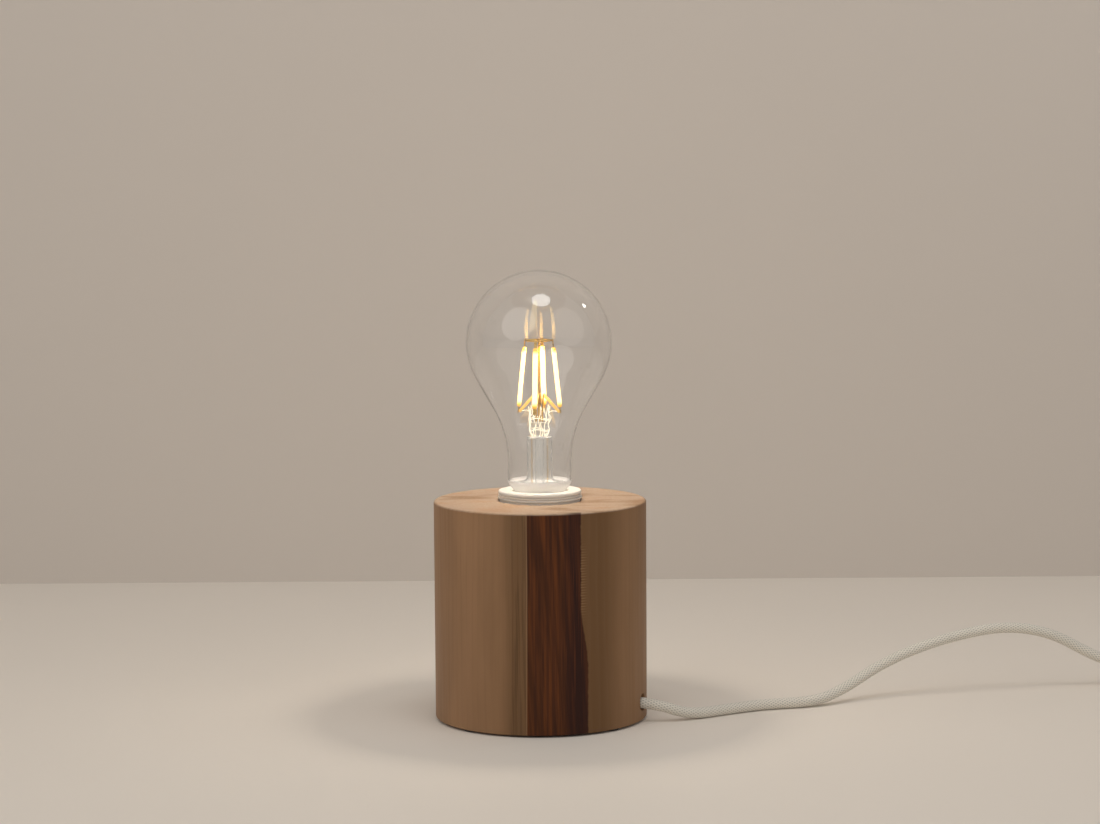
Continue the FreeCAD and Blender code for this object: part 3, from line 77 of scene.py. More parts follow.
def length(name, description, default):
    return bpy.props.FloatProperty(
        name=name, description=description, default=default, unit="LENGTH", precision=5
    )


def angle(name, description, default):
    return bpy.props.FloatProperty(
        name=name, description=description, default=default, unit="ROTATION", precision=4
    )


def colour(name, description, default):
    return bpy.props.FloatVectorProperty(
        name=name, description=description, default=default, subtype="COLOR", min=0.0, max=1.0
    )


def strength(name, description, default):
    return bpy.props.FloatProperty(name=name, description=description, default=default, min=0.0)


class LampView(bpy.types.PropertyGroup):
    """Where the camera stands, what it sees and how the lamp is lit."""

    place: bpy.props.FloatVectorProperty(
        name="Camera place",
        description="Place of the camera",
        default=(-0.0014, -1.36944, 0.28826),
        subtype="TRANSLATION",
    )
    pitch: angle("Pitch", "How far the camera looks down", math.radians(5.977))
    yaw: angle("Yaw", "How far the camera is turned to its right", math.radians(0.268))
    roll: angle("Roll", "Tilt of the camera about its own line of sight", math.radians(-0.3705))
    lens: strength("Lens", "Focal length in millimetres on a 36 mm wide sensor", 96.0)
    wall_distance: length("Wall distance", "From the lamp's axis back to the backdrop", 0.4)
    floor_colour: colour("Floor", "Colour of the floor", srgb(232, 224, 214))
    wall_colour: colour("Backdrop", "Colour of the backdrop", srgb(205, 196, 187))
    key_power: strength("Key light", "Power of the large soft light, in watts", 5.0)
    fill_power: strength("Fill light", "Power of the light on the other side, in watts", 2.2)
    top_power: strength("Top light", "Power of the soft light overhead, in watts", 1.6)
    bulb_power: strength("Bulb light", "Power of the bulb's own light, in watts", 0.45)
    sky_strength: strength("Surroundings", "Brightness of the surroundings", 0.36)


class LampWood(bpy.types.PropertyGroup):
    """The turned block."""

    radius: length("Radius", "Radius of the block", high_end("wood_base").x)
    rim_round: length("Rim", "Rounding of the top edge", 0.9 * MM)
    foot_round: length("Foot edge", "Rounding of the bottom edge", 0.6 * MM)
    bore: length("Bore", "Radius of the hole for the lampholder", 19.3 * MM)
    bore_floor: length("Bore floor", "Height of the bore's floor", 44.0 * MM)
    recess: length("Recess", "Radius of the wiring recess", 33.0 * MM)
    recess_ceiling: length("Recess ceiling", "Height of the recess's ceiling", 17.0 * MM)
    rebate: length("Rebate", "Radius of the rebate for the bottom plate", 39.2 * MM)
    shelf: length("Shelf", "Height of the shelf above the bottom plate", 3.2 * MM)
    tube_hole: length("Tube hole", "Radius of the hole for the fixing tube", 5.3 * MM)
    cord_hole: length("Cord hole", "Radius of the hole for the cord", 3.6 * MM)
    cord_height: length("Cord height", "Height of the cord's hole", 9.4 * MM)
    cord_bearing: angle("Cord bearing", "Direction of the cord's hole", math.radians(-18))
    pale: colour("Pale wood", "Colour of the pale wood", srgb(154, 118, 86))
    olive: colour("Olive wood", "Colour of the greyer wood on the right", srgb(108, 78, 48))
    heart: colour("Heartwood", "Colour of the dark strip", srgb(86, 44, 13))
    dark_heart: colour("Dark edge", "Colour of the strip's darkest edge", srgb(46, 17, 9))
    end_grain: colour("End grain", "Colour of the top", srgb(168, 144, 122))


class LampHolder(bpy.types.PropertyGroup):
    """The ring of the lampholder and its sleeve."""

    shell: length("Shell", "Radius of the lampholder's outer wall", 19.0 * MM)
    wall: length("Wall", "Thickness of the outer wall", 1.8 * MM)
    lip: length("Lip", "How far the lip stands out of the wall", 0.75 * MM)
    lip_height: length("Lip height", "Height of the lip", 0.6 * MM)
    band: length("Band", "Height of the band above the lip", 3.1 * MM)
    band_step: length("Band step", "How far the band lies behind the lip", 0.25 * MM)
    groove: length("Groove", "Depth of the grooves under the two bands", 1.1 * MM)
    groove_width: length("Groove width", "Width of those grooves", 0.4 * MM)
    edge: length("Edge", "Rounding of the ring's top edges", 0.8 * MM)
    sleeve: length("Sleeve", "Inner radius of the sleeve that takes the bulb", 13.4 * MM)
    sleeve_wall: length("Sleeve wall", "Thickness of the sleeve", 1.7 * MM)
    sleeve_foot: length("Sleeve foot", "Height of the sleeve's lower end", 80.0 * MM)
    plastic: colour("Plastic", "Colour of the lampholder", srgb(232, 226, 216))


class LampBulb(bpy.types.PropertyGroup):
    """The bulb's cap, glass and filaments."""

    pitch: length("Thread pitch", "Rise of the thread in one turn", 3.62 * MM)
    thread_depth: length("Thread depth", "Depth of the thread in the cap", 0.95 * MM)
    cap_wall: length("Cap wall", "Thickness of the cap's sheet metal", 0.35 * MM)
    cap_foot_radius: length("Cap foot", "Radius of the cap's lower end", 11.0 * MM)
    glass_wall: length("Glass wall", "Thickness of the blown glass", 0.7 * MM)
    crown: length("Crown", "Radius of the round top", high_end("bulb_glass").y)
    shoulder: length("Shoulder", "Radius of the hollow curve below the cone", 50.0 * MM)
    neck: length("Neck", "Radius of the neck", 15.0 * MM)
    neck_start: length("Neck start", "Height where the neck begins", 112.6 * MM)
    collar: length("Collar", "Radius of the collar in the cap", 12.2 * MM)
    cone: angle("Cone", "Angle of the cone from the upright", math.radians(30))
    stem: length("Stem", "Radius of the glass stem", 6.0 * MM)
    stem_wall: length("Stem wall", "Thickness of the stem", 0.8 * MM)
    exhaust: length("Inner tube", "Radius of the tube inside the stem", 2.25 * MM)
    filament_width: length("Filament width", "Width of a filament's broad face", 2.3 * MM)
    filament_depth: length("Filament depth", "Thickness of a filament", 1.8 * MM)
    filament_turn: angle("Filament turn", "Bearing of the first filament", math.radians(-13))
    filament_low: length("Filament foot", "Radius of a filament's lower end", 9.9 * MM)
    filament_high: length("Filament top", "Radius of a filament's upper end", 7.0 * MM)
    lit_low: length("Lit from", "Height of a filament's lower end", 147.5 * MM)
    lit_high: length("Lit to", "Height of a filament's upper end", 175.4 * MM)
    glow: colour("Glow", "Colour of the lit middle", (1.0, 0.77, 0.35))
    glow_end: colour("Glow at the ends", "Colour of the coating near the ends", (1.0, 0.55, 0.10))
    glow_strength: strength("Glow strength", "Brightness of the filaments", 2.5)


class LampCord(bpy.types.PropertyGroup):
    """The cloth-covered cord."""

    diameter: length("Diameter", "Diameter of the cord", 5.2 * MM)
    coil_radius: length("Coil", "Radius of the coil at the middle of its turns", 28.6 * MM)
    tie_width: length("Tie width", "Width of the paper band round the coil", 6.0 * MM)
    tie_thickness: length("Tie thickness", "Thickness of that band", 0.5 * MM)
    tie_gap: length("Tie gap", "Gap between the band and the turns", 0.2 * MM)
    tie_bearing: angle("Tie bearing", "Direction of the band from the coil's middle", math.radians(150))
    braid_pitch: length("Braid pitch", "Length of the braid's pattern along the cord", 2.4 * MM)
    strands: bpy.props.IntProperty(
        name="Strands", description="Pairs of threads round the cord", default=12, min=4
    )
    cloth: colour("Cloth", "Colour of the cloth", srgb(226, 220, 208))


SETTINGS = {
    "lamp_view": LampView,
    "lamp_wood": LampWood,
    "lamp_holder": LampHolder,
    "lamp_bulb": LampBulb,
    "lamp_cord": LampCord,
}

# ---------------------------------------------------------------------------------------------
# Modelling helpers


def deselect():
    if bpy.context.object and bpy.context.object.mode == "EDIT":
        bpy.ops.object.mode_set(mode="OBJECT")
    bpy.ops.object.select_all(action="DESELECT")


def pick(*pieces):
    """Selects these pieces alone, with the first one active."""
    deselect()
    for piece in pieces:
        piece.select_set(True)
    bpy.context.view_layer.objects.active = pieces[0]


def edit(name):
    """Names the primitive that was just added and opens it for editing."""
    piece = bpy.context.object
    piece.name = piece.data.name = name
    bpy.ops.object.mode_set(mode="EDIT")
    bpy.ops.mesh.select_all(action="SELECT")
    return piece


def close_mesh():
    """Merges doubles and turns all faces outwards."""
    bpy.ops.mesh.select_all(action="SELECT")
    bpy.ops.mesh.remove_doubles(threshold=WELD)
    bpy.ops.mesh.normals_make_consistent(inside=False)
    bpy.ops.object.mode_set(mode="OBJECT")


def smooth(piece, sharpest=35):
    pick(piece)
    bpy.ops.object.shade_smooth_by_angle(angle=math.radians(sharpest))


def settle(piece, place=None):
    """Puts a piece in its place and works that place into its mesh."""
    pick(piece)
    if place is not None:
        piece.matrix_world = place
    bpy.ops.object.transform_apply(location=True, rotation=True, scale=True)
    return piece


def apply_modifier(piece, kind, **settings):
    pick(piece)
    modifier = piece.modifiers.new(kind.title(), kind)
    for setting, value in settings.items():
        setattr(modifier, setting, value)
    bpy.ops.object.modifier_apply(modifier=modifier.name)


def arc(centre, radius, start, end, steps):
    """Points of an arc in (radius, height), from one angle to another in degrees."""
    turns = (math.radians(start + (end - start) * step / steps) for step in range(steps + 1))
    return [
        (centre[0] + radius * math.cos(turn), centre[1] + radius * math.sin(turn))
        for turn in turns
    ]


def straight(start, end, steps):
    """Evenly spaced points from one end to just before the other."""
    start, end = Vector(start), Vector(end)
    return [tuple(start.lerp(end, step / steps)) for step in range(steps)]


def rounded(corners, steps=5):
    """Closed outline in which each corner with a third number is an arc of that radius."""
    outline = []
    for number, corner in enumerate(corners):
        if len(corner) < 3:
            outline.append(corner)
            continue
        here = Vector(corner[:2])
        back = (Vector(corners[number - 1][:2]) - here).normalized()
        on = (Vector(corners[(number + 1) % len(corners)][:2]) - here).normalized()
        half = back.angle(on) / 2
        centre = here + (back + on).normalized() * corner[2] / math.sin(half)
        start = (here + back * corner[2] / math.tan(half) - centre).normalized()
        end = (here + on * corner[2] / math.tan(half) - centre).normalized()
        turns = (start.slerp(end, step / steps) for step in range(steps + 1))
        outline += [tuple(centre + turn * corner[2]) for turn in turns]
    return outline


def turned(name, outline, steps=96):
    """Turns a closed outline of (radius, height) round the upright axis."""
    deselect()
    bpy.ops.mesh.primitive_plane_add(size=MM)
    piece = edit(name)
    bpy.ops.mesh.merge(type="CENTER")
    radius, height = outline[0]
    bpy.ops.transform.translate(value=(radius, 0, height))
    for here, following in zip(outline, outline[1:] + outline[:1]):
        run = (following[0] - here[0], 0, following[1] - here[1])
        bpy.ops.mesh.extrude_region_move(TRANSFORM_OT_translate={"value": run})
    bpy.ops.mesh.select_all(action="SELECT")
    bpy.ops.mesh.spin(steps=steps, angle=math.tau, center=(0, 0, 0), axis=(0, 0, 1))
    close_mesh()
    return piece


def press_thread(piece, low, high, pitch, depth, inner, outer):
    """Presses a right-hand round thread into the walls between two heights and two radii."""
    for vertex in piece.data.vertices:
        x, y, z = vertex.co
        radius = math.hypot(x, y)
        if low < z < high and inner < radius < outer:
            ends = min(1.0, 2 * (z - low) / pitch, 2 * (high - z) / pitch)
            phase = z / pitch - math.atan2(y, x) / math.tau
            share = 1 - depth * ends * (0.5 - 0.5 * math.cos(math.tau * phase)) / radius
            vertex.co.x *= share
            vertex.co.y *= share


def around(radius, bearing, height):
    return Vector((radius * math.cos(bearing), radius * math.sin(bearing), height))


def spline_object(name, routes, resolution):
    """Object with a smooth spline for each route, which gives its control points."""
    line = bpy.data.curves.new(name, "CURVE")
    line.dimensions = "3D"
    for route in routes:
        spline = line.splines.new("NURBS")
        spline.points.add(len(route) - 1)
        for point, place in zip(spline.points, route):
            point.co = (*place, 1.0)
        spline.order_u = SPLINE_ORDER
        spline.use_endpoint_u = True
        spline.resolution_u = resolution
    piece = bpy.data.objects.new(name, line)
    bpy.context.scene.collection.objects.link(piece)
    return piece


def wire(name, routes, radius):
    """Thin round wires along open routes, as one mesh."""
    piece = spline_object(name, routes, 6)
    piece.data.bevel_depth = radius
    piece.data.bevel_resolution = 3
    piece.data.use_fill_caps = True
    pick(piece)
    bpy.ops.object.convert(target="MESH")
    piece = bpy.context.object
    bpy.ops.object.shade_smooth()
    return piece


def finished(piece, body, slot, material, *nodes):
    """Gives a piece its body and material, and hides the nodes it stands for. The slot is not used."""
    piece.data.materials.clear()
    piece.data.materials.append(material)
    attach(piece, body)
    if nodes:
        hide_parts(*nodes)
    return piece


# ---------------------------------------------------------------------------------------------
# Materials


class Nodes:
    """Adds shader nodes to a material and joins them."""

    def __init__(self, name):
        self.material = bpy.data.materials.get(name) or bpy.data.materials.new(name)
        self.material.use_nodes = True
        self.tree = self.material.node_tree
        self.tree.nodes.clear()
        self.shader = self.add("BsdfPrincipled")
        self.join(self.shader.outputs[0], self.add("OutputMaterial").inputs["Surface"])
        self.place = self.add("TexCoord").outputs["Object"]

    def add(self, kind, **settings):
        node = self.tree.nodes.new("ShaderNode" + kind)
        for setting, value in settings.items():
            setattr(node, setting, value)
        return node

    def join(self, source, socket):
        """Links an output to a socket, or sets the socket to a number or colour."""
        if isinstance(source, bpy.types.NodeSocket):
            self.tree.links.new(source, socket)
        else:
            socket.default_value = source

    def set(self, **sockets):
        for label, value in sockets.items():
            self.join(value, self.shader.inputs[label.replace("_", " ")])

    def math(self, operation, *values):
        node = self.add("Math", operation=operation)
        for socket, value in zip(node.inputs, values):
            self.join(value, socket)
        return node.outputs[0]

    def times(self, product, *factors):
        for factor in factors:
            product = self.math("MULTIPLY", product, factor)
        return product

    def mix(self, share, first, second):
        node = self.add("Mix", data_type="RGBA")
        for number, value in ((0, share), (6, first), (7, second)):
            if number and not isinstance(value, bpy.types.NodeSocket):
                value = (*value[:3], 1.0)
            self.join(value, node.inputs[number])
        return node.outputs[2]

    def ramp(self, value, low, high, start=0.0, end=1.0):
        """Eases from start to end as the value goes from low to high."""
        node = self.add("MapRange", interpolation_type="SMOOTHSTEP")
        for socket, part in zip(node.inputs, (value, low, high, start, end)):
            self.join(part, socket)
        return node.outputs[0]

    def stretched(self, x, y, z, source=None):
        node = self.add("Mapping")
        self.join(source or self.place, node.inputs["Vector"])
        node.inputs["Scale"].default_value = (x, y, z)
        return node.outputs[0]

    def noise(self, source, scale, detail=3.0, roughness=0.5):
        node = self.add("TexNoise")
        self.join(source, node.inputs["Vector"])
        node.inputs["Scale"].default_value = scale
        node.inputs["Detail"].default_value = detail
        node.inputs["Roughness"].default_value = roughness
        return node.outputs["Fac"]

    def axes(self, source=None):
        node = self.add("SeparateXYZ")
        self.join(source or self.place, node.inputs[0])
        return node.outputs

    def bump(self, height, strength, distance):
        node = self.add("Bump")
        self.join(height, node.inputs["Height"])
        node.inputs["Strength"].default_value = strength
        node.inputs["Distance"].default_value = distance
        self.join(node.outputs[0], self.shader.inputs["Normal"])


# How far the lines of turned metal are squeezed along X, Y and Z.
TURNING = (40, 40, 1500)


def shaded(tone, share):
    return tuple(part * share for part in tone)


def plain_finish(name, tone, roughness, grain=900.0, bump=0.05):
    """Moulded, painted or metal finish with a faint mottle, uneven gloss and fine texture."""
    nodes = Nodes(name)
    mottle = nodes.noise(nodes.place, 60.0, 4.0)
    fine = nodes.noise(nodes.place, grain, 2.0)
    nodes.set(Base_Color=nodes.mix(mottle, shaded(tone, 0.9), shaded(tone, 1.06)))
    nodes.set(Roughness=nodes.ramp(mottle, 0.3, 0.7, roughness * 0.85, roughness * 1.15))
    nodes.bump(fine, bump, 0.05 * MM)
    return nodes.material


def brushed_finish(name, tone, roughness, stretch):
    """Drawn or rolled metal with fine lines along its length."""
    nodes = Nodes(name)
    lines = nodes.noise(nodes.stretched(*stretch), 1.0, 3.0, 0.6)
    nodes.set(Base_Color=nodes.mix(lines, shaded(tone, 0.82), shaded(tone, 1.05)))
    nodes.set(Roughness=nodes.ramp(lines, 0.3, 0.7, roughness * 0.8, roughness * 1.3))
    nodes.set(Metallic=1.0)
    nodes.bump(lines, 0.08, 0.02 * MM)
    return nodes.material


def wood_finish(wood):
    """Pale satin wood with a shallow strip of dark heartwood at the front."""
    nodes = Nodes("turned_wood")
    strip_left, ring_width, tick_pitch = -6.6 * MM, 3.1 * MM, 1.25 * MM
    strip_right_foot, strip_right_top = 21.8 * MM, 18.4 * MM
    ring_centre = (6 * MM, -115 * MM, 0.0)
    x, y, z = nodes.axes()
    wander = nodes.math("SUBTRACT", nodes.noise(nodes.stretched(6, 6, 9), 1.0, 2.0), 0.5)
    ripple = nodes.math("SUBTRACT", nodes.noise(nodes.stretched(30, 30, 300), 1.0, 2.0), 0.5)
    across = nodes.math("ADD", x, nodes.times(wander, 2.2 * MM))

    # Growth rings about a centre well in front of the block.
    from_centre = nodes.add("VectorMath", operation="LENGTH")
    flat = nodes.stretched(1, 1, 0)
    shift = nodes.add("VectorMath", operation="SUBTRACT")
    nodes.join(flat, shift.inputs[0])
    shift.inputs[1].default_value = ring_centre
    nodes.join(shift.outputs[0], from_centre.inputs[0])
    ring_warp = nodes.noise(nodes.stretched(26, 26, 6), 1.0, 3.0, 0.55)
    reach = nodes.math("ADD", from_centre.outputs["Value"], nodes.times(ring_warp, 9 * MM))
    rings = nodes.math("FRACT", nodes.math("DIVIDE", reach, ring_width))
    late = nodes.ramp(rings, 0.35, 0.97)
    streak = nodes.noise(nodes.stretched(900, 900, 14), 1.0, 4.0, 0.6)
    hair = nodes.noise(nodes.stretched(2200, 2200, 22), 1.0, 3.0, 0.65)
    broad = nodes.noise(nodes.stretched(60, 60, 13), 1.0, 3.0, 0.5)

    # Pale wood, greyer towards the right of the strip, with streaks before its left edge.
    right = nodes.times(
        nodes.ramp(across, 14 * MM, 20 * MM),
        nodes.ramp(across, 27 * MM, 40 * MM, 1.0, 0.0),
    )
    pale = nodes.mix(nodes.ramp(broad, 0.3, 0.7), shaded(wood.pale, 0.88), shaded(wood.pale, 1.08))
    pale = nodes.mix(right, pale, wood.olive)
    pale = nodes.mix(nodes.ramp(across, -36 * MM, -12 * MM, 0.0, 0.4), pale, wood.olive)
    streaked = nodes.times(
        nodes.ramp(across, -19 * MM, -11 * MM),
        nodes.ramp(across, strip_left, strip_left + 0.3 * MM, 0.7, 0.0),
    )
    pale = nodes.mix(streaked, pale, shaded(wood.olive, 0.9))
    threads = nodes.times(streaked, nodes.ramp(streak, 0.46, 0.58, 0.0, 0.7))
    pale = nodes.mix(threads, pale, shaded(wood.olive, 0.5))
    hairline = nodes.ramp(streaked, 0.0, 1.0, 0.1, 0.8)
    hairline = nodes.times(nodes.ramp(hair, 0.52, 0.7), hairline)
    pale = nodes.mix(hairline, pale, shaded(wood.pale, 0.5))
    grain = nodes.times(late, nodes.ramp(streak, 0.35, 0.65, 0.25, 1.0))
    pale = nodes.mix(nodes.times(grain, 0.22), pale, shaded(wood.pale, 0.62))

    # Heartwood, with slanting lighter figure and its darkest edge on the right.
    slant = nodes.math("ADD", across, nodes.times(z, 0.08))
    slanted = nodes.add("CombineXYZ")
    nodes.join(slant, slanted.inputs[0])
    nodes.join(nodes.times(z, 0.05), slanted.inputs[2])
    figure = nodes.noise(slanted.outputs[0], 360.0, 4.0, 0.55)
    bands = nodes.ramp(figure, 0.34, 0.66)
    heart = nodes.mix(bands, shaded(wood.heart, 0.62), shaded(wood.heart, 1.35))
    dark_edge = nodes.times(
        nodes.ramp(across, 9 * MM, 14.5 * MM),
        nodes.ramp(figure, 0.3, 0.7, 1.0, 0.6),
    )
    heart = nodes.mix(dark_edge, heart, wood.dark_heart)
    dark_streak = nodes.ramp(streak, 0.36, 0.62, 0.55, 0.0)
    heart = nodes.mix(dark_streak, heart, shaded(wood.dark_heart, 0.8))
    heart = nodes.mix(nodes.ramp(hair, 0.55, 0.72, 0.0, 0.5), heart, shaded(wood.heart, 1.7))
    edge = nodes.ramp(z, 30 * MM, 62 * MM, strip_right_foot, strip_right_top)
    edge = nodes.math("ADD", edge, nodes.times(ripple, 0.9 * MM))
    inside = nodes.math("SUBTRACT", edge, across)
    strip = nodes.times(
        nodes.ramp(across, strip_left, strip_left + 0.5 * MM),
        nodes.ramp(inside, -0.35 * MM, 0.45 * MM),
        nodes.ramp(y, -45.5 * MM, -43.0 * MM, 1.0, 0.0),
    )
    line = nodes.times(
        nodes.ramp(across, strip_left - 0.3 * MM, strip_left),
        nodes.ramp(across, strip_left + 0.1 * MM, strip_left + 0.35 * MM, 0.35, 0.0),
    )
    pale = nodes.mix(line, pale, shaded(wood.pale, 1.25))
    ticks = nodes.math("SINE", nodes.times(z, math.tau / tick_pitch))
    beside = nodes.times(
        nodes.ramp(inside, -3.4 * MM, -0.4 * MM),
        nodes.ramp(across, 10 * MM, 14 * MM),
        nodes.ramp(z, 52 * MM, 62 * MM),
        nodes.ramp(z, 82 * MM, 92 * MM, 0.45, 0.0),
    )
    pale = nodes.mix(
        nodes.times(beside, nodes.ramp(ticks, 0.55, 0.95)), pale, shaded(wood.pale, 1.3)
    )
    side = nodes.mix(strip, pale, heart)

    # End grain on the top, where the strip hardly shows.
    top_strip = nodes.times(strip, nodes.ramp(across, 8 * MM, 17 * MM, 0.12, 0.75))
    end = nodes.mix(nodes.times(late, 0.4), wood.end_grain, shaded(wood.end_grain, 0.72))
    cloud = nodes.noise(nodes.stretched(26, 60, 1), 1.0, 2.0)
    end = nodes.mix(nodes.ramp(cloud, 0.5, 0.66, 0.0, 0.7), end, shaded(wood.olive, 1.35))
    end = nodes.mix(nodes.ramp(cloud, 0.32, 0.46, 0.5, 0.0), end, shaded(wood.pale, 1.15))
    end = nodes.mix(top_strip, end, wood.dark_heart)
    top = high_end("wood_base").z
    on_top = nodes.ramp(z, top - wood.rim_round, top - 0.25 * MM)
    nodes.set(Base_Color=nodes.mix(on_top, side, end))
    nodes.set(Roughness=nodes.ramp(streak, 0.3, 0.7, 0.45, 0.6), Specular_IOR_Level=0.2)
    nodes.set(Coat_Weight=0.04, Coat_Roughness=0.35)
    pores = nodes.math("ADD", streak, nodes.times(grain, 0.5))
    nodes.bump(pores, 0.12, 0.12 * MM)
    return nodes.material


def glass_finish(name, tone, roughness, transmission):
    """Clear or milky glass with faint unevenness in its gloss."""
    nodes = Nodes(name)
    uneven = nodes.noise(nodes.place, 18.0, 2.0)
    nodes.set(Base_Color=nodes.mix(uneven, shaded(tone, 0.985), tone))
    nodes.set(Roughness=nodes.ramp(uneven, 0.3, 0.7, roughness, roughness * 1.5))
    nodes.set(IOR=1.5, Transmission_Weight=transmission)
    return nodes.material


def filament_finish(bulb):
    """Phosphor coating, white-hot along its middle and golden towards its ends."""
    nodes = Nodes("lit_coating")
    z = nodes.axes()[2]
    near_end = 3.2 * MM
    middle = nodes.times(
        nodes.ramp(z, bulb.lit_low + 0.4 * MM, bulb.lit_low + near_end),
        nodes.ramp(z, bulb.lit_high - near_end, bulb.lit_high - 0.4 * MM, 1.0, 0.0),
    )
    grains = nodes.noise(nodes.place, 2600.0, 2.0)
    tone = nodes.mix(middle, bulb.glow_end, bulb.glow)
    level = nodes.times(nodes.ramp(grains, 0.2, 0.8, 0.9, 1.1), bulb.glow_strength)
    level = nodes.times(level, nodes.ramp(middle, 0.0, 1.0, 0.22, 1.0))
    nodes.set(Base_Color=nodes.mix(grains, srgb(226, 170, 60), srgb(240, 190, 84)))
    nodes.set(Roughness=0.45, Emission_Color=tone, Emission_Strength=level)
    nodes.bump(grains, 0.1, 0.05 * MM)
    nodes.material.cycles.emission_sampling = "NONE"
    return nodes.material


def braid_finish(cord):
    """White cloth braid: two sets of threads that cross on a slant round the cord, with painted light
    on the raised threads and painted shade in the hollows between them.
    """
    nodes = Nodes("cloth_braid")
    source = nodes.add("UVMap", uv_map="UVMap").outputs[0]
    u, v = nodes.axes(source)[:2]
    round_turn = nodes.times(u, math.tau * cord.strands / (math.pi * cord.diameter))
    along = nodes.times(v, math.tau / cord.braid_pitch)
    left = nodes.math("SINE", nodes.math("ADD", round_turn, along))
    right = nodes.math("SINE", nodes.math("SUBTRACT", round_turn, along))
    threads = nodes.math("MAXIMUM", left, right)
    fibres = nodes.noise(nodes.stretched(1, 1, 1, source), 2600.0, 3.0)
    height = nodes.math("ADD", threads, nodes.times(fibres, 0.6))
    soil = nodes.noise(nodes.place, 40.0, 3.0)
    # Painted light and shade: the raised threads are painted lighter and the hollows between them
    # darker, where shade falls.
    painted_thread_shade = nodes.ramp(threads, -0.6, 0.9)
    soiled = nodes.ramp(soil, 0.4, 0.75, 0.0, 0.25)
    cloth = nodes.mix(painted_thread_shade, shaded(cord.cloth, 0.62), shaded(cord.cloth, 1.08))
    cloth = nodes.mix(soiled, cloth, shaded(cord.cloth, 0.85))
    nodes.set(Base_Color=cloth, Roughness=0.85, Sheen_Weight=0.25, Sheen_Roughness=0.4)
    nodes.bump(height, 0.55, 0.25 * MM)
    return nodes.material


def held_cloth_finish(cord):
    """The same cloth on a straight solid that has no map of its own."""
    nodes = Nodes("held_cloth")
    weave = nodes.add("TexVoronoi", feature="F1")
    nodes.join(nodes.place, weave.inputs["Vector"])
    weave.inputs["Scale"].default_value = 1100.0
    threads = weave.outputs["Distance"]
    nodes.set(Base_Color=nodes.mix(threads, cord.cloth, shaded(cord.cloth, 0.6)), Roughness=0.85)
    nodes.bump(threads, 0.4, 0.2 * MM)
    return nodes.material


def board_finish():
    """Green circuit board with a faint weave and paler tracks."""
    nodes = Nodes("circuit_board")
    weave = nodes.add("TexChecker")
    nodes.join(nodes.place, weave.inputs["Vector"])
    weave.inputs["Scale"].default_value = 2500.0
    tracks = nodes.ramp(nodes.noise(nodes.stretched(300, 1, 120), 1.0, 1.0), 0.5, 0.54)
    green = nodes.mix(weave.outputs["Fac"], srgb(24, 70, 42), srgb(30, 82, 50))
    nodes.set(Base_Color=nodes.mix(tracks, green, srgb(52, 112, 66)), Roughness=0.35)
    nodes.bump(tracks, 0.3, 0.03 * MM)
    return nodes.material


def paper_finish():
    """Uncoated paper with visible fibres."""
    nodes = Nodes("paper_band")
    fibres = nodes.noise(nodes.stretched(1, 1, 3), 900.0, 5.0, 0.7)
    nodes.set(Base_Color=nodes.mix(fibres, srgb(206, 200, 188), srgb(232, 228, 218)))
    nodes.set(Roughness=nodes.ramp(fibres, 0.3, 0.7, 0.8, 0.95))
    nodes.bump(fibres, 0.25, 0.05 * MM)
    return nodes.material


def white_moulding(holder):
    return plain_finish("white_moulding", holder.plastic, 0.32, 1400, 0.06)


def nickel_cap():
    return brushed_finish("nickel_cap", srgb(206, 202, 192), 0.22, TURNING)


def golden_wire():
    return brushed_finish("golden_wire", srgb(226, 190, 120), 0.3, (90, 90, 600))


def node_finishes(scene):
    """A finish for each material slot of the record."""
    return {
        "foot_rubber": plain_finish("foot_rubber_finish", srgb(58, 56, 54), 0.75, 500, 0.3),
        "plate": plain_finish("painted_plate", srgb(70, 64, 58), 0.5, 1500, 0.3),
        "steel": brushed_finish("turned_steel", srgb(196, 196, 192), 0.3, TURNING),
        "white_plastic": white_moulding(scene.lamp_holder),
        "contact_brass": brushed_finish("rolled_brass", srgb(214, 176, 100), 0.28, (700, 60, 60)),
        "brown_wire": plain_finish("brown_insulation", srgb(104, 62, 38), 0.4),
        "blue_wire": plain_finish("blue_insulation", srgb(48, 92, 150), 0.4),
        "cap_metal": nickel_cap(),
        "black_glass": plain_finish("black_insulator", srgb(26, 24, 26), 0.12, 300, 0.05),
        "cement": plain_finish("bulb_cement", srgb(206, 198, 184), 0.85, 1800, 0.5),
        "board": board_finish(),
        "black_plastic": plain_finish("black_case", srgb(34, 34, 36), 0.4),
        "clear_glass": glass_finish("inner_glass", (0.99, 0.99, 0.985), 0.03, 1.0),
        "filament": filament_finish(scene.lamp_bulb),
        "wire_metal": golden_wire(),
        "textile": held_cloth_finish(scene.lamp_cord),
        "paper": paper_finish(),
        "wood": wood_finish(scene.lamp_wood),
    }


# ---------------------------------------------------------------------------------------------
# Cords: the routes follow the tubes in the solid model

BASE_ROUTE = [
    (0.0363, -0.0118, 0.0094),
    (0.0526, -0.0171, 0.0094),
    (0.0695, -0.0124, 0.0026),
    (0.0885, 0.0001, 0.0026),
    (0.1065, 0.0106, 0.0026),
    (0.1320, 0.0158, 0.0026),
    (0.1472, 0.0284, 0.0066),
    (0.1645, 0.0400, 0.0152),
    (0.1835, 0.0468, 0.0224),
    (0.2050, 0.0526, 0.0279),
    (0.2290, 0.0575, 0.0313),
    (0.2520, 0.0606, 0.0275),
    (0.2730, 0.0624, 0.0155),
    (0.2910, 0.0630, 0.0088),
    (0.3040, 0.0630, 0.0085),
]
LINK_ROUTE = [
    (0.3600, 0.0630, 0.0085),
    (0.3722, 0.0629, 0.0084),
    (0.3840, 0.0589, 0.0080),
    (0.3935, 0.0504, 0.0072),
    (0.3990, 0.0388, 0.0059),
    (0.4004, 0.0250, 0.0044),
]
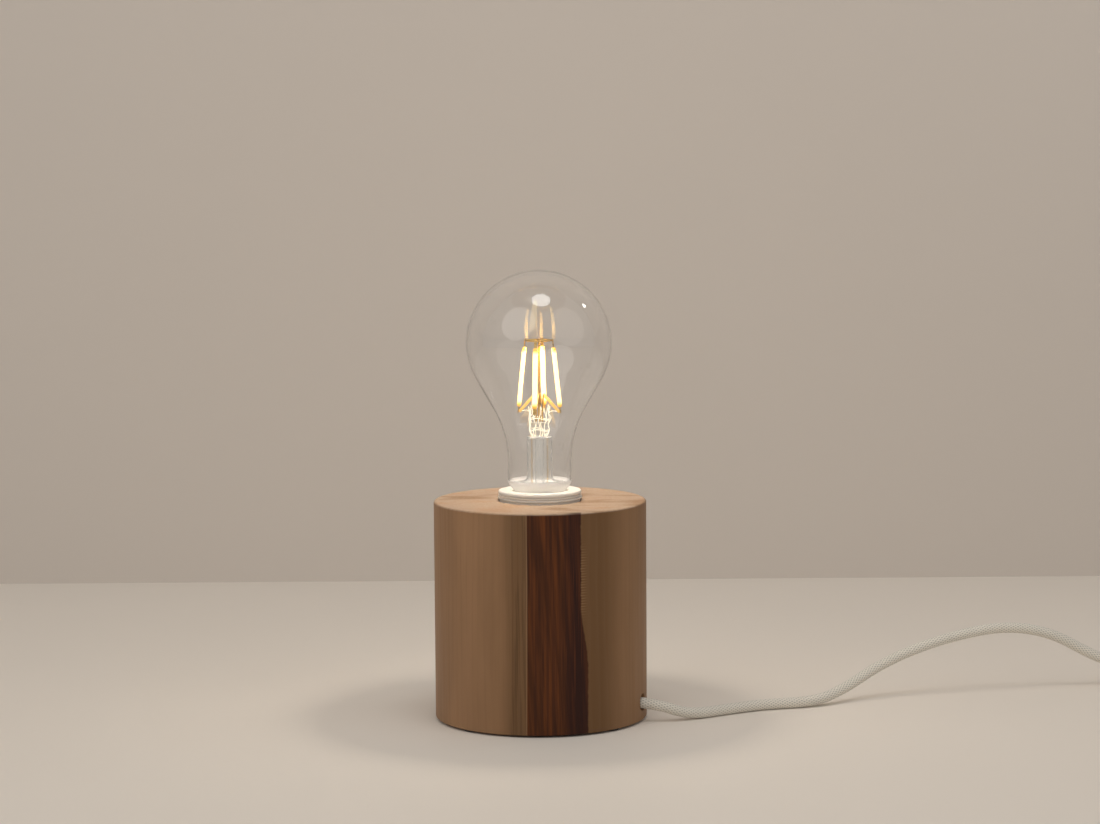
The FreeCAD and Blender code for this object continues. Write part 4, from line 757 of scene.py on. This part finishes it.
TAIL_ROUTE = [
    (0.3998, -0.0020, 0.0130),
    (0.3995, -0.0160, 0.0096),
    (0.3980, -0.0300, 0.0053),
    (0.3936, -0.0445, 0.0029),
    (0.3845, -0.0576, 0.0026),
    (0.3715, -0.0668, 0.0036),
    (0.3570, -0.0700, 0.0063),
    (0.3440, -0.0700, 0.00685),
]
TUBE_SIDES = 16
COIL_POINTS = 16
COIL_SHIFT = 1 / 6
# Each turn of the coil as (place from the inside out, level from the table up), and its end.
COIL_TURNS = [(2, 0), (1, 0), (0, 0), (0, 1), (1, 1), (2, 1), (1, 2), (2, 2)]


def coil_route(cord):
    """Turns of the coil, wound clockwise, each one stepping over in the same sector."""
    low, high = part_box("cord_coil")
    centre = (low + high) / 2
    first_level = low.z + cord.diameter / 2
    bulge = 1 / (0.75 + 0.25 * math.cos(math.tau / COIL_POINTS))
    points = []
    for number in range((len(COIL_TURNS) - 1) * COIL_POINTS + 1):
        turn, step = divmod(number, COIL_POINTS)
        share = step / COIL_POINTS
        place, level = COIL_TURNS[turn]
        following = COIL_TURNS[min(turn + 1, len(COIL_TURNS) - 1)]
        over = max(0.0, (share - 1 + COIL_SHIFT) / COIL_SHIFT)
        place += (following[0] - place) * over
        level += (following[1] - level) * over
        radius = (cord.coil_radius + (place - 1) * cord.diameter) * bulge
        spot = around(radius, -math.tau * share, first_level + level * cord.diameter)
        points.append((centre.x + spot.x, centre.y + spot.y, spot.z))
    return points


def cord_line(name, route):
    """Points of the smooth spline that has the route's points as its control points."""
    holder = spline_object(name, [route], 8)
    line = holder.data
    sampled = bpy.data.meshes.new_from_object(holder)
    points = [vertex.co.copy() for vertex in sampled.vertices]
    bpy.data.objects.remove(holder)
    bpy.data.meshes.remove(sampled)
    bpy.data.curves.remove(line)
    return points


def braided_tube(name, points, radius):
    """Tube along a line, with a map in real lengths: u round it, v along it."""
    vertices, rows, travelled = [], [], 0.0
    side = None
    for number, point in enumerate(points):
        before, after = points[max(number - 1, 0)], points[min(number + 1, len(points) - 1)]
        heading = (after - before).normalized()
        if side is None:
            side = heading.cross(Vector((0, 0, 1))).normalized()
        side = (side - heading * side.dot(heading)).normalized()
        up = heading.cross(side)
        if number:
            travelled += (point - points[number - 1]).length
        rows.append(travelled)
        for step in range(TUBE_SIDES):
            turn = math.tau * step / TUBE_SIDES
            vertices.append(point + (side * math.cos(turn) + up * math.sin(turn)) * radius)
    faces, places = [], []
    round_step = math.tau * radius / TUBE_SIDES
    for row in range(len(points) - 1):
        for step in range(TUBE_SIDES):
            near, far = row * TUBE_SIDES, (row + 1) * TUBE_SIDES
            following = (step + 1) % TUBE_SIDES
            faces.append((near + step, near + following, far + following, far + step))
            left, right = round_step * step, round_step * (step + 1)
            places += [(left, rows[row]), (right, rows[row])]
            places += [(right, rows[row + 1]), (left, rows[row + 1])]
    for start, order in ((0, -1), ((len(points) - 1) * TUBE_SIDES, 1)):
        faces.append(tuple(start + step for step in range(TUBE_SIDES))[::order])
        places += [(0.0, 0.0)] * TUBE_SIDES
    mesh = bpy.data.meshes.new(name)
    mesh.from_pydata(vertices, [], faces)
    layer = mesh.uv_layers.new(name="UVMap")
    for corner, place in zip(layer.data, places):
        corner.uv = place
    piece = bpy.data.objects.new(name, mesh)
    bpy.context.scene.collection.objects.link(piece)
    pick(piece)
    bpy.ops.object.mode_set(mode="EDIT")
    bpy.ops.mesh.select_all(action="SELECT")
    bpy.ops.mesh.normals_make_consistent(inside=False)
    bpy.ops.object.mode_set(mode="OBJECT")
    smooth(piece, 50)
    return piece


class LAMP_OT_camera(bpy.types.Operator):
    """Put the camera where the photograph was taken from"""

    bl_idname = "lamp.camera"
    bl_label = "Camera"

    def execute(self, context):
        view = context.scene.lamp_view
        turn = (
            Matrix.Rotation(-view.yaw, 3, "Z")
            @ Matrix.Rotation(math.pi / 2 - view.pitch, 3, "X")
            @ Matrix.Rotation(view.roll, 3, "Z")
        )
        deselect()
        bpy.ops.object.camera_add(location=view.place, rotation=turn.to_euler())
        camera = context.object
        camera.name = "photo_camera"
        camera.data.sensor_fit = "HORIZONTAL"
        camera.data.sensor_width = 36.0
        camera.data.lens = view.lens
        context.scene.camera = camera
        context.scene.view_settings.view_transform = "Standard"
        return {"FINISHED"}


class LAMP_OT_cords(bpy.types.Operator):
    """Lay the cord from the base to the switch, and from there through the coil to the plug"""

    bl_idname = "lamp.cords"
    bl_label = "Cords"

    def execute(self, context):
        cord, wood = context.scene.lamp_cord, context.scene.lamp_wood
        cloth = braid_finish(cord)
        radius = cord.diameter / 2
        first = cord_line("base_cord_line", BASE_ROUTE)
        base_cord = finished(
            braided_tube("base_cord", first, radius), "base", "textile", cloth, "cord"
        )
        second = cord_line("mains_cord_line", LINK_ROUTE + coil_route(cord) + TAIL_ROUTE)
        mains_cord = finished(
            braided_tube("mains_cord", second, radius),
            "base",
            "textile",
            cloth,
            "cord_link",
            "cord_coil",
            "cord_tail",
        )
        return {"FINISHED"}


class LAMP_OT_coil_tie(bpy.types.Operator):
    """Wrap the paper band closely round the coil's turns"""

    bl_idname = "lamp.coil_tie"
    bl_label = "Coil tie"

    def execute(self, context):
        cord = context.scene.lamp_cord
        low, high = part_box("cord_coil")
        centre = (low + high) / 2
        step, middle = cord.diameter, cord.coil_radius
        first = low.z + cord.diameter / 2
        reach = cord.diameter / 2 + cord.tie_gap
        corners = [
            ((middle - step, first), 180, 270),
            ((middle + step, first), 270, 360),
            ((middle + step, first + step), 0, 45),
            ((middle, first + 2 * step), 45, 135),
            ((middle - step, first + step), 135, 180),
        ]
        outline = []
        steps = 6
        for place, start, end in corners:
            outline += arc(place, reach, start, end, steps)
        deselect()
        bpy.ops.mesh.primitive_circle_add(vertices=len(outline), radius=MM)
        band = edit("coil_tie_band")
        bpy.ops.object.mode_set(mode="OBJECT")
        settle(band)
        for vertex, (across, height) in zip(band.data.vertices, outline):
            vertex.co = (across, -cord.tie_width / 2, height)
        bpy.ops.object.mode_set(mode="EDIT")
        bpy.ops.mesh.select_all(action="SELECT")
        bpy.ops.mesh.extrude_region_move(TRANSFORM_OT_translate={"value": (0, cord.tie_width, 0)})
        close_mesh()
        apply_modifier(band, "SOLIDIFY", thickness=cord.tie_thickness, offset=1.0)
        bearing = Matrix.Rotation(cord.tie_bearing, 4, "Z")
        settle(band, Matrix.Translation((centre.x, centre.y, 0)) @ bearing)
        smooth(band, 40)
        finished(band, "base", "paper", paper_finish(), "coil_tie")
        return {"FINISHED"}


# ---------------------------------------------------------------------------------------------
# Wood and lampholder


class LAMP_OT_wood_base(bpy.types.Operator):
    """Turn the wooden block and drill its hole for the cord"""

    bl_idname = "lamp.wood_base"
    bl_label = "Wooden base"

    def execute(self, context):
        wood = context.scene.lamp_wood
        bottom, top = low_end("wood_base").z, high_end("wood_base").z
        outline = rounded(
            [
                (wood.rebate, bottom),
                (wood.radius, bottom, wood.foot_round),
                (wood.radius, top, wood.rim_round),
                (wood.bore, top, wood.foot_round),
                (wood.bore, wood.bore_floor),
                (wood.tube_hole, wood.bore_floor),
                (wood.tube_hole, wood.recess_ceiling),
                (wood.recess, wood.recess_ceiling),
                (wood.recess, wood.shelf),
                (wood.rebate, wood.shelf),
            ]
        )
        block = turned("turned_block", outline, steps=192)
        mouth_depth, mouth_flare, overlap = 1.2 * MM, 1.1 * MM, 2 * MM
        reach = wood.radius + MM
        mouth = wood.radius - mouth_depth
        inside = wood.recess - overlap
        bit = [
            (0, inside),
            (wood.cord_hole, inside),
            (wood.cord_hole, mouth),
            (wood.cord_hole + mouth_flare, reach),
            (0, reach),
        ]
        drill = turned("cord_drill", bit, steps=48)
        place = (
            Matrix.Translation((0, 0, wood.cord_height))
            @ Matrix.Rotation(wood.cord_bearing, 4, "Z")
            @ Matrix.Rotation(math.pi / 2, 4, "Y")
        )
        settle(drill, place)
        apply_modifier(block, "BOOLEAN", object=drill, operation="DIFFERENCE", solver="EXACT")
        bpy.data.objects.remove(drill)
        smooth(block, 30)
        finished(block, "base", "wood", wood_finish(wood), "wood_base")
        return {"FINISHED"}


class LAMP_OT_holder_ring(bpy.types.Operator):
    """Turn the lampholder's skirt, with its ring above the wood and the threaded sleeve"""

    bl_idname = "lamp.holder_ring"
    bl_label = "Lampholder ring"

    def execute(self, context):
        holder, bulb = context.scene.lamp_holder, context.scene.lamp_bulb
        bottom, top = low_end("holder_skirt").z, high_end("holder_skirt").z
        inner = holder.shell - holder.wall
        lip = holder.shell + holder.lip
        band = lip - holder.band_step
        band_foot = top - holder.band
        band_middle = band_foot + holder.band * 0.36
        lip_foot = band_foot - holder.lip_height
        sleeve_outer = holder.sleeve + holder.sleeve_wall
        under_top = top - holder.wall - holder.edge
        seam = 0.15 * MM
        corners = [
            (inner, bottom),
            (holder.shell, bottom, seam),
            (holder.shell, lip_foot - holder.lip, seam),
            (lip, lip_foot, seam),
            (lip, band_foot, seam),
            *self.groove(holder, band, band_foot, seam)[1:],
            *self.groove(holder, band, band_middle, seam),
            (band, top, holder.edge),
            (holder.sleeve, top, holder.edge),
        ]
        thread_low, thread_high = holder.sleeve_foot + MM, top - 3 * MM
        wall_top, wall_rows = top - 2 * MM, 60
        wall = straight((holder.sleeve, wall_top), (holder.sleeve, holder.sleeve_foot), wall_rows)
        corners += wall
        corners += [
            (holder.sleeve, holder.sleeve_foot),
            (sleeve_outer, holder.sleeve_foot),
            (sleeve_outer, under_top),
            (inner, under_top),
        ]
        skirt = turned("holder_ring", rounded(corners), steps=96)
        thread_depth, reach = 0.8 * MM, 0.1 * MM
        press_thread(
            skirt,
            thread_low,
            thread_high,
            bulb.pitch,
            -thread_depth,
            holder.sleeve - reach,
            holder.sleeve + reach,
        )
        smooth(skirt, 40)
        finished(skirt, "base", "white_plastic", white_moulding(holder), "holder_skirt")
        return {"FINISHED"}

    def groove(self, holder, band, foot, seam):
        """Narrow groove in the ring's side, from its lower corner to its upper one."""
        floor = band - holder.groove
        upper = foot + holder.groove_width
        return [(band, foot, seam), (floor, foot), (floor, upper), (band, upper, seam)]


# ---------------------------------------------------------------------------------------------
# Bulb


class LAMP_OT_bulb_cap(bpy.types.Operator):
    """Form the bulb's threaded cap from thin sheet"""

    bl_idname = "lamp.bulb_cap"
    bl_label = "Bulb cap"

    def execute(self, context):
        bulb = context.scene.lamp_bulb
        low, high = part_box("bulb_cap")
        radius, wall = high.y, bulb.cap_wall
        shoulder = low.z + 3 * MM
        rows = 56
        outer = straight((radius, shoulder), (radius, high.z), rows)
        inner = straight((radius - wall, high.z), (radius - wall, shoulder), rows)
        foot = bulb.cap_foot_radius
        outline = [(foot - wall, low.z), (foot, low.z), *outer, (radius, high.z), *inner]
        outline.append((radius - wall, shoulder))
        cap = turned("bulb_cap_shell", outline, steps=96)
        thread_top = high.z - 3.2 * MM
        press_thread(
            cap, shoulder, thread_top, bulb.pitch, bulb.thread_depth, radius - 2 * wall, 2 * radius
        )
        smooth(cap, 40)
        finished(cap, "bulb", "cap_metal", nickel_cap(), "bulb_cap")
        return {"FINISHED"}


# Height of the step from the collar to the neck, for each unit of its width.
COLLAR_RISE = 1.55


def filament_bearing(bulb, number):
    return bulb.filament_turn + number * math.pi / 2


def glass_side(bulb, inset):
    """Side of the blown glass from collar to crown, moved inwards by inset."""
    low, top = low_end("bulb_glass").z, high_end("bulb_glass").z
    centre = top - bulb.crown
    cone = math.degrees(bulb.cone)
    slope, rise = math.cos(bulb.cone), math.sin(bulb.cone)
    cone_length = (bulb.crown * slope - bulb.neck - bulb.shoulder * (1 - slope)) / rise
    neck_end = centre - (bulb.crown + bulb.shoulder) * rise - cone_length * slope
    collar_top = bulb.neck_start - (bulb.neck - bulb.collar) * COLLAR_RISE
    neck, bend_gap = bulb.neck - inset, 0.4 * MM
    outline = [(bulb.collar - inset, low), *collar_bend(bulb, collar_top, inset)]
    outline += straight((neck, bulb.neck_start + bend_gap), (neck, neck_end), 4)
    hollow = (bulb.neck + bulb.shoulder, neck_end)
    outline += arc(hollow, bulb.shoulder + inset, 180, 180 - cone, 14)
    outline += arc((0, centre), bulb.crown - inset, -cone, 90, 48)
    return outline


def collar_bend(bulb, collar_top, inset):
    """Curve from the collar out to the neck, where it ends upright."""
    run = bulb.neck - bulb.collar
    rise = bulb.neck_start - collar_top
    points = []
    steps = 8
    for step in range(steps + 1):
        share = step / steps
        eased = math.sin(share * math.pi / 2)
        points.append((bulb.collar + run * eased - inset, collar_top + rise * share))
    return points


class LAMP_OT_bulb_glass(bpy.types.Operator):
    """Blow the envelope: collar, neck, cone and round crown, with a wall of glass"""

    bl_idname = "lamp.bulb_glass"
    bl_label = "Blown glass"

    def execute(self, context):
        bulb = context.scene.lamp_bulb
        outer = glass_side(bulb, 0.0)
        inner = glass_side(bulb, bulb.glass_wall)
        outline = outer[:-1] + [(0.0, outer[-1][1]), (0.0, inner[-1][1])] + inner[-2::-1]
        glass = turned("blown_glass", outline, steps=128)
        smooth(glass, 60)
        clear = glass_finish("blown_glass_clear", (1.0, 1.0, 1.0), 0.0, 1.0)
        finished(glass, "bulb", "clear_glass", clear, "bulb_glass")
        milky = glass_finish("sealed_collar", (0.97, 0.95, 0.92), 0.35, 0.55)
        glass.data.materials.append(milky)
        milky_reach = 0.9 * MM
        seal = bulb.neck_start + milky_reach
        for face in glass.data.polygons:
            face.material_index = int(face.center.z < seal)
        glass.visible_shadow = False
        return {"FINISHED"}


class LAMP_OT_stem(bpy.types.Operator):
    """Make the stem with its flare and crimped top, and the narrow tube inside it"""

    bl_idname = "lamp.stem"
    bl_label = "Glass stem"

    def execute(self, context):
        bulb = context.scene.lamp_bulb
        clearance, below_neck, rise = 0.8 * MM, 1.1 * MM, 0.8 * MM
        rounding, top, tube_wall = 2.6 * MM, 133 * MM, 0.6 * MM
        flare = bulb.neck - bulb.glass_wall - clearance
        edge = bulb.neck_start - below_neck
        root = edge + rise
        wall = bulb.stem_wall
        bend = (bulb.stem + rounding, root + rounding)
        outline = [
            (flare, edge - wall),
            (flare, edge),
            *arc(bend, rounding, 270, 180, 8),
            *straight((bulb.stem, root + 2 * rounding), (bulb.stem, top), 4),
            *arc((bulb.stem - wall, top), wall, 0, 90, 4),
            (0, top + wall),
            (0, top),
            (bulb.stem - wall, top),
            *arc(bend, rounding + wall, 180, 270, 8),
        ]
        stem = turned("stem_tube", outline, steps=64)
        smooth(stem, 50)
        milky = glass_finish("stem_glass", (0.98, 0.97, 0.95), 0.12, 0.86)
        finished(stem, "bulb", "clear_glass", milky, "glass_stem")
        pinch = self.make_pinch(top + wall / 2)
        pressed = glass_finish("pinch_glass", (0.98, 0.98, 0.95), 0.02, 1.0)
        finished(pinch, "bulb", "clear_glass", pressed)
        low = low_end("exhaust_tube").z
        outer, inner = bulb.exhaust, bulb.exhaust - tube_wall
        tube_outline = [
            *arc((0, low + outer), outer, -90, 0, 6),
            (outer, top),
            (inner, top),
            *arc((0, low + outer), inner, 0, -90, 6),
        ]
        tube = turned("sealed_tube", tube_outline, steps=40)
        smooth(tube, 50)
        finished(tube, "bulb", "clear_glass", milky, "exhaust_tube")
        for piece in (stem, pinch, tube):
            piece.visible_shadow = False
        return {"FINISHED"}

    def make_pinch(self, foot):
        """Crimped block of glass on top of the stem, uneven from the tongs."""
        width, thickness, height = 9 * MM, 4.2 * MM, 7.4 * MM
        jitter = 0.55 * MM
        deselect()
        bpy.ops.mesh.primitive_cube_add(size=1, location=(0, 0, foot + height / 2))
        pinch = edit("crimped_stem_top")
        bpy.ops.transform.resize(value=(width * 0.86, thickness * 0.8, height * 0.92))
        bpy.ops.mesh.subdivide(number_cuts=3)
        bpy.ops.transform.vertex_random(offset=jitter, uniform=0.9, seed=4)
        bpy.ops.object.mode_set(mode="OBJECT")
        settle(pinch)
        apply_modifier(pinch, "SUBSURF", levels=2, render_levels=2)
        smooth(pinch, 180)
        return pinch


def filament_line(bulb, height):
    """Radius of a filament's middle line at a height."""
    share = (height - bulb.lit_low) / (bulb.lit_high - bulb.lit_low)
    return bulb.filament_low + (bulb.filament_high - bulb.filament_low) * share


def filament_place(bulb, number, height):
    """Place on filament number's line at a height, leaning in as the filament does."""
    bearing = filament_bearing(bulb, number)
    lean = math.atan2(bulb.filament_low - bulb.filament_high, bulb.lit_high - bulb.lit_low)
    return (
        Matrix.Translation(around(filament_line(bulb, height), bearing, height))
        @ Matrix.Rotation(bearing, 4, "Z")
        @ Matrix.Rotation(-lean, 4, "Y")
    )


class LAMP_OT_filaments(bpy.types.Operator):
    """Set the four lit strips in their places"""

    bl_idname = "lamp.filaments"
    bl_label = "Filaments"

    def execute(self, context):
        bulb = context.scene.lamp_bulb
        run = Vector((bulb.filament_low - bulb.filament_high, bulb.lit_high - bulb.lit_low)).length
        coating, edge_round = filament_finish(bulb), 0.7 * MM
        deselect()
        bpy.ops.mesh.primitive_cube_add(size=1, location=(0, 0, run / 2))
        strip = edit("filament_1")
        bpy.ops.transform.resize(value=(bulb.filament_depth, bulb.filament_width, run))
        bpy.ops.mesh.bevel(offset=edge_round, segments=5, affect="EDGES")
        close_mesh()
        settle(strip)
        smooth(strip, 60)
        strips = [strip]
        for number in range(2, 5):
            pick(strip)
            bpy.ops.object.duplicate()
            copy = bpy.context.object
            copy.name = copy.data.name = f"filament_{number}"
            strips.append(copy)
        for number, piece in enumerate(strips):
            settle(piece, filament_place(bulb, number, bulb.lit_low))
            node = f"led_filament_{number + 1}"
            finished(piece, "bulb", "filament", coating, node)
            piece.visible_diffuse = False
        return {"FINISHED"}


class LAMP_OT_filament_wires(bpy.types.Operator):
    """Bend the arms, the crown of wires on the stem and the ring at the top"""

    bl_idname = "lamp.filament_wires"
    bl_label = "Filament wires"

    def execute(self, context):
        bulb = context.scene.lamp_bulb
        strips, posts = [], []
        post_radius, top_radius = 1.5 * MM, 2.0 * MM
        post_foot, post_bend, post_top = 140.6 * MM, 149 * MM, 153.5 * MM
        tab_foot = bulb.lit_low - 2.8 * MM
        tab_reach, tab_lift = filament_line(bulb, tab_foot) - 0.5 * MM, 0.4 * MM
        for number in range(4):
            bearing = filament_bearing(bulb, number)
            inner = around(top_radius, bearing, post_top)
            outer = around(tab_reach, bearing, tab_foot + tab_lift)
            strips.append(self.make_strip(inner, outer, bearing))
            low, bend = (around(post_radius, bearing, z) for z in (post_foot, post_bend))
            posts.append([low, bend, inner])
        pick(*strips)
        bpy.ops.object.join()
        arms = bpy.context.object
        arms.name = arms.data.name = "golden_arms"
        smooth(arms, 40)
        finished(arms, "bulb", "wire_metal", self.painted_glow_arm_finish())
        inner_posts = wire("arm_posts", posts, 0.35 * MM)
        finished(inner_posts, "bulb", "wire_metal", golden_wire(), "support_arms")
        crown = wire("crown_wires", self.crown_routes(bulb, tab_foot), 0.2 * MM)
        finished(crown, "bulb", "wire_metal", self.painted_glow_wire())
        return {"FINISHED"}

    def make_strip(self, inner, outer, bearing):
        """Flat strip on edge from the inner to the outer place."""
        run = outer - inner
        deselect()
        bpy.ops.mesh.primitive_cube_add(size=1, location=(run.length / 2, 0, 0))
        strip = edit("golden_arm")
        bpy.ops.transform.resize(value=(run.length, 0.5 * MM, 1.4 * MM))
        bpy.ops.mesh.bevel(offset=0.2 * MM, segments=2, affect="EDGES")
        close_mesh()
        dip = math.asin(-run.z / run.length)
        place = (
            Matrix.Translation(inner)
            @ Matrix.Rotation(bearing, 4, "Z")
            @ Matrix.Rotation(dip, 4, "Y")
        )
        settle(strip)
        return settle(strip, place)

    def crown_routes(self, bulb, tab_foot):
        """Kinked prongs round the crimped glass, and a thin wire out to each filament."""
        routes = []
        kinks = ((3.4, 133.4), (5.3, 136.2), (4.1, 139.0), (5.5, 142.2), (4.4, 144.6), (4.9, 147.6))
        prongs = 11
        for number in range(prongs):
            bearing = math.tau * (number + 0.3) / prongs
            route = []
            for step, (radius, height) in enumerate(kinks):
                twist = 0.16 * math.sin(2.3 * number + 1.9 * step)
                shift = 0.5 * math.sin(1.7 * number + 2.6 * step)
                route.append(around((radius + shift) * MM, bearing + twist, (height + shift) * MM))
            routes.append(route)
        leads = ((4.6, -0.2, 144.9), (6.4, -0.1, 146.1), (8.0, 0.0, 145.4))
        end = filament_line(bulb, tab_foot) - 0.3 * MM
        for number in range(4):
            bearing = filament_bearing(bulb, number)
            route = [around(radius * MM, bearing + turn, z * MM) for radius, turn, z in leads]
            routes.append([*route, around(end, bearing, tab_foot + MM)])
        for height in (136.6, 142.0):
            ring = []
            for step in range(13):
                radius = 4.6 + 0.5 * math.sin(3.0 * step)
                level = height + 0.7 * math.sin(5.0 * step)
                ring.append(around(radius * MM, math.tau * step / 12, level * MM))
            routes.append(ring)
        return routes

    def painted_glow_wire(self):
        """Bright nickel wire with a painted glow that stands in for the light of the filaments it
        catches.
        """
        nodes = Nodes("crown_wire")
        shine = nodes.noise(nodes.place, 700.0, 2.0)
        nodes.set(Base_Color=nodes.mix(shine, srgb(206, 200, 170), srgb(250, 246, 230)))
        nodes.set(Metallic=0.85, Roughness=0.25)
        # Painted glow: emission that stands in for the filaments' light on the wire.
        nodes.set(Emission_Color=(1.0, 0.9, 0.7, 1.0), Emission_Strength=0.8)
        return nodes.material

    def painted_glow_arm_finish(self):
        """Golden strip with a painted glow that stands in for the light of the filaments beside it."""
        nodes = Nodes("golden_strip")
        shine = nodes.noise(nodes.stretched(400, 400, 120), 1.0, 2.0)
        nodes.set(Base_Color=nodes.mix(shine, srgb(206, 150, 52), srgb(244, 200, 104)))
        nodes.set(Metallic=0.6, Roughness=0.3)
        # Painted glow: emission that stands in for the filaments' light on the strip.
        nodes.set(Emission_Color=(1.0, 0.66, 0.24, 1.0), Emission_Strength=0.6)
        return nodes.material


# ---------------------------------------------------------------------------------------------
# Finishes of the solid pieces, and the stage


class LAMP_OT_node_finishes(bpy.types.Operator):
    """Give every solid that still shows its own finish"""

    bl_idname = "lamp.node_finishes"
    bl_label = "Finishes of the solid pieces"

    def execute(self, context):
        finishes = node_finishes(context.scene)
        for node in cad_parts:
            for slot in bpy.data.objects[node].material_slots:
                slot.material = finishes[slot.material.name.split(".")[0]]
        return {"FINISHED"}


class LAMP_OT_stage(bpy.types.Operator):
    """Add the floor, the backdrop, the soft lights and the bulb's own light"""

    bl_idname = "lamp.stage"
    bl_label = "Stage"

    def execute(self, context):
        view = context.scene.lamp_view
        half_width, front, wall_height = 2.2, -1.9, 2.0
        depth = view.wall_distance - front
        deselect()
        bpy.ops.mesh.primitive_plane_add(size=1, location=(0, front + depth / 2, 0))
        stage = edit("floor_and_backdrop")
        bpy.ops.transform.resize(value=(2 * half_width, depth, 1))
        bpy.ops.mesh.select_mode(type="EDGE")
        bpy.ops.mesh.select_all(action="DESELECT")
        bpy.ops.object.mode_set(mode="OBJECT")
        settle(stage)
        for edge in stage.data.edges:
            ends = [stage.data.vertices[number].co.y for number in edge.vertices]
            edge.select = min(ends) > view.wall_distance - MM
        bpy.ops.object.mode_set(mode="EDIT")
        bpy.ops.mesh.extrude_region_move(TRANSFORM_OT_translate={"value": (0, 0, wall_height)})
        bpy.ops.object.mode_set(mode="OBJECT")
        stage.data.materials.append(self.surface("floor_paint", view.floor_colour))
        stage.data.materials.append(self.surface("backdrop_paint", view.wall_colour))
        for face in stage.data.polygons:
            face.material_index = int(face.center.z > MM)
        sparkle_power, glow_height, glow_radius = 0.12, 0.178, 0.012
        near_white = (1.0, 0.98, 0.95)
        lights = (
            ("key_light", (-0.75, -0.95, 0.95), 1.4, view.key_power, (1.0, 0.97, 0.93)),
            ("fill_light", (0.95, -0.75, 0.75), 1.4, view.fill_power, (1.0, 0.96, 0.92)),
            ("sparkle_light", (0.47, 0.17, 0.546), 0.05, sparkle_power, near_white),
            ("top_light", (0.05, -0.25, 1.1), 0.4, view.top_power, near_white),
        )
        for light in lights:
            self.soft_light(*light)
        deselect()
        bpy.ops.object.light_add(type="POINT", location=(0, 0, glow_height))
        own = context.object
        own.name = "bulb_light"
        own.data.energy = view.bulb_power
        own.data.color = (1.0, 0.88, 0.74)
        own.data.shadow_soft_size = glow_radius
        own.visible_camera = False
        own.visible_glossy = False
        own.visible_transmission = False
        world = context.scene.world or bpy.data.worlds.new("surroundings")
        context.scene.world = world
        world.use_nodes = True
        sky = world.node_tree.nodes["Background"]
        sky.inputs["Color"].default_value = (*near_white, 1.0)
        sky.inputs["Strength"].default_value = view.sky_strength
        return {"FINISHED"}

    def surface(self, name, tone):
        nodes = Nodes(name)
        mottle = nodes.noise(nodes.place, 6.0, 3.0)
        nodes.set(Base_Color=nodes.mix(mottle, shaded(tone, 0.985), shaded(tone, 1.01)))
        nodes.set(Roughness=0.6)
        return nodes.material

    def soft_light(self, name, place, size, power, tone):
        """Round light that faces the middle of the lamp."""
        deselect()
        facing = (Vector((0, 0, 0.1)) - Vector(place)).to_track_quat("-Z", "Y")
        bpy.ops.object.light_add(type="AREA", location=place, rotation=facing.to_euler())
        light = bpy.context.object
        light.name = name
        light.data.shape = "DISK"
        light.data.size = size
        light.data.energy = power
        light.data.color = tone


# ---------------------------------------------------------------------------------------------
# Panel


class LAMP_PT_panel(bpy.types.Panel):
    """Sizes, colours and steps of the lamp"""

    bl_idname = "LAMP_PT_panel"
    bl_label = "Bare bulb lamp"
    bl_space_type = "VIEW_3D"
    bl_region_type = "UI"
    bl_category = "Lamp"

    def draw(self, context):
        for name, group in SETTINGS.items():
            box = self.layout.box()
            box.label(text=group.__doc__.splitlines()[0])
            for setting in group.__annotations__:
                box.prop(getattr(context.scene, name), setting)
        for step in STEPS:
            self.layout.operator(step.bl_idname)


STEPS = [
    LAMP_OT_camera,
    LAMP_OT_cords,
    LAMP_OT_coil_tie,
    LAMP_OT_node_finishes,
    LAMP_OT_wood_base,
    LAMP_OT_holder_ring,
    LAMP_OT_bulb_cap,
    LAMP_OT_bulb_glass,
    LAMP_OT_stem,
    LAMP_OT_filaments,
    LAMP_OT_filament_wires,
    LAMP_OT_stage,
]


def register():
    for group in (*SETTINGS.values(), *STEPS, LAMP_PT_panel):
        bpy.utils.register_class(group)
    for name, group in SETTINGS.items():
        setattr(bpy.types.Scene, name, bpy.props.PointerProperty(type=group))


def unregister():
    for name in SETTINGS:
        delattr(bpy.types.Scene, name)
    for group in reversed((*SETTINGS.values(), *STEPS, LAMP_PT_panel)):
        bpy.utils.unregister_class(group)


def main():
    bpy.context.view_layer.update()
    register()
    bpy.ops.lamp.camera()
    bpy.ops.lamp.cords()
    bpy.ops.lamp.coil_tie()
    bpy.ops.lamp.node_finishes()
    bpy.ops.lamp.wood_base()
    bpy.ops.lamp.holder_ring()
    bpy.ops.lamp.bulb_cap()
    bpy.ops.lamp.bulb_glass()
    bpy.ops.lamp.stem()
    bpy.ops.lamp.filaments()
    bpy.ops.lamp.filament_wires()
    bpy.ops.lamp.stage()


if __name__ == "__main__":
    main()
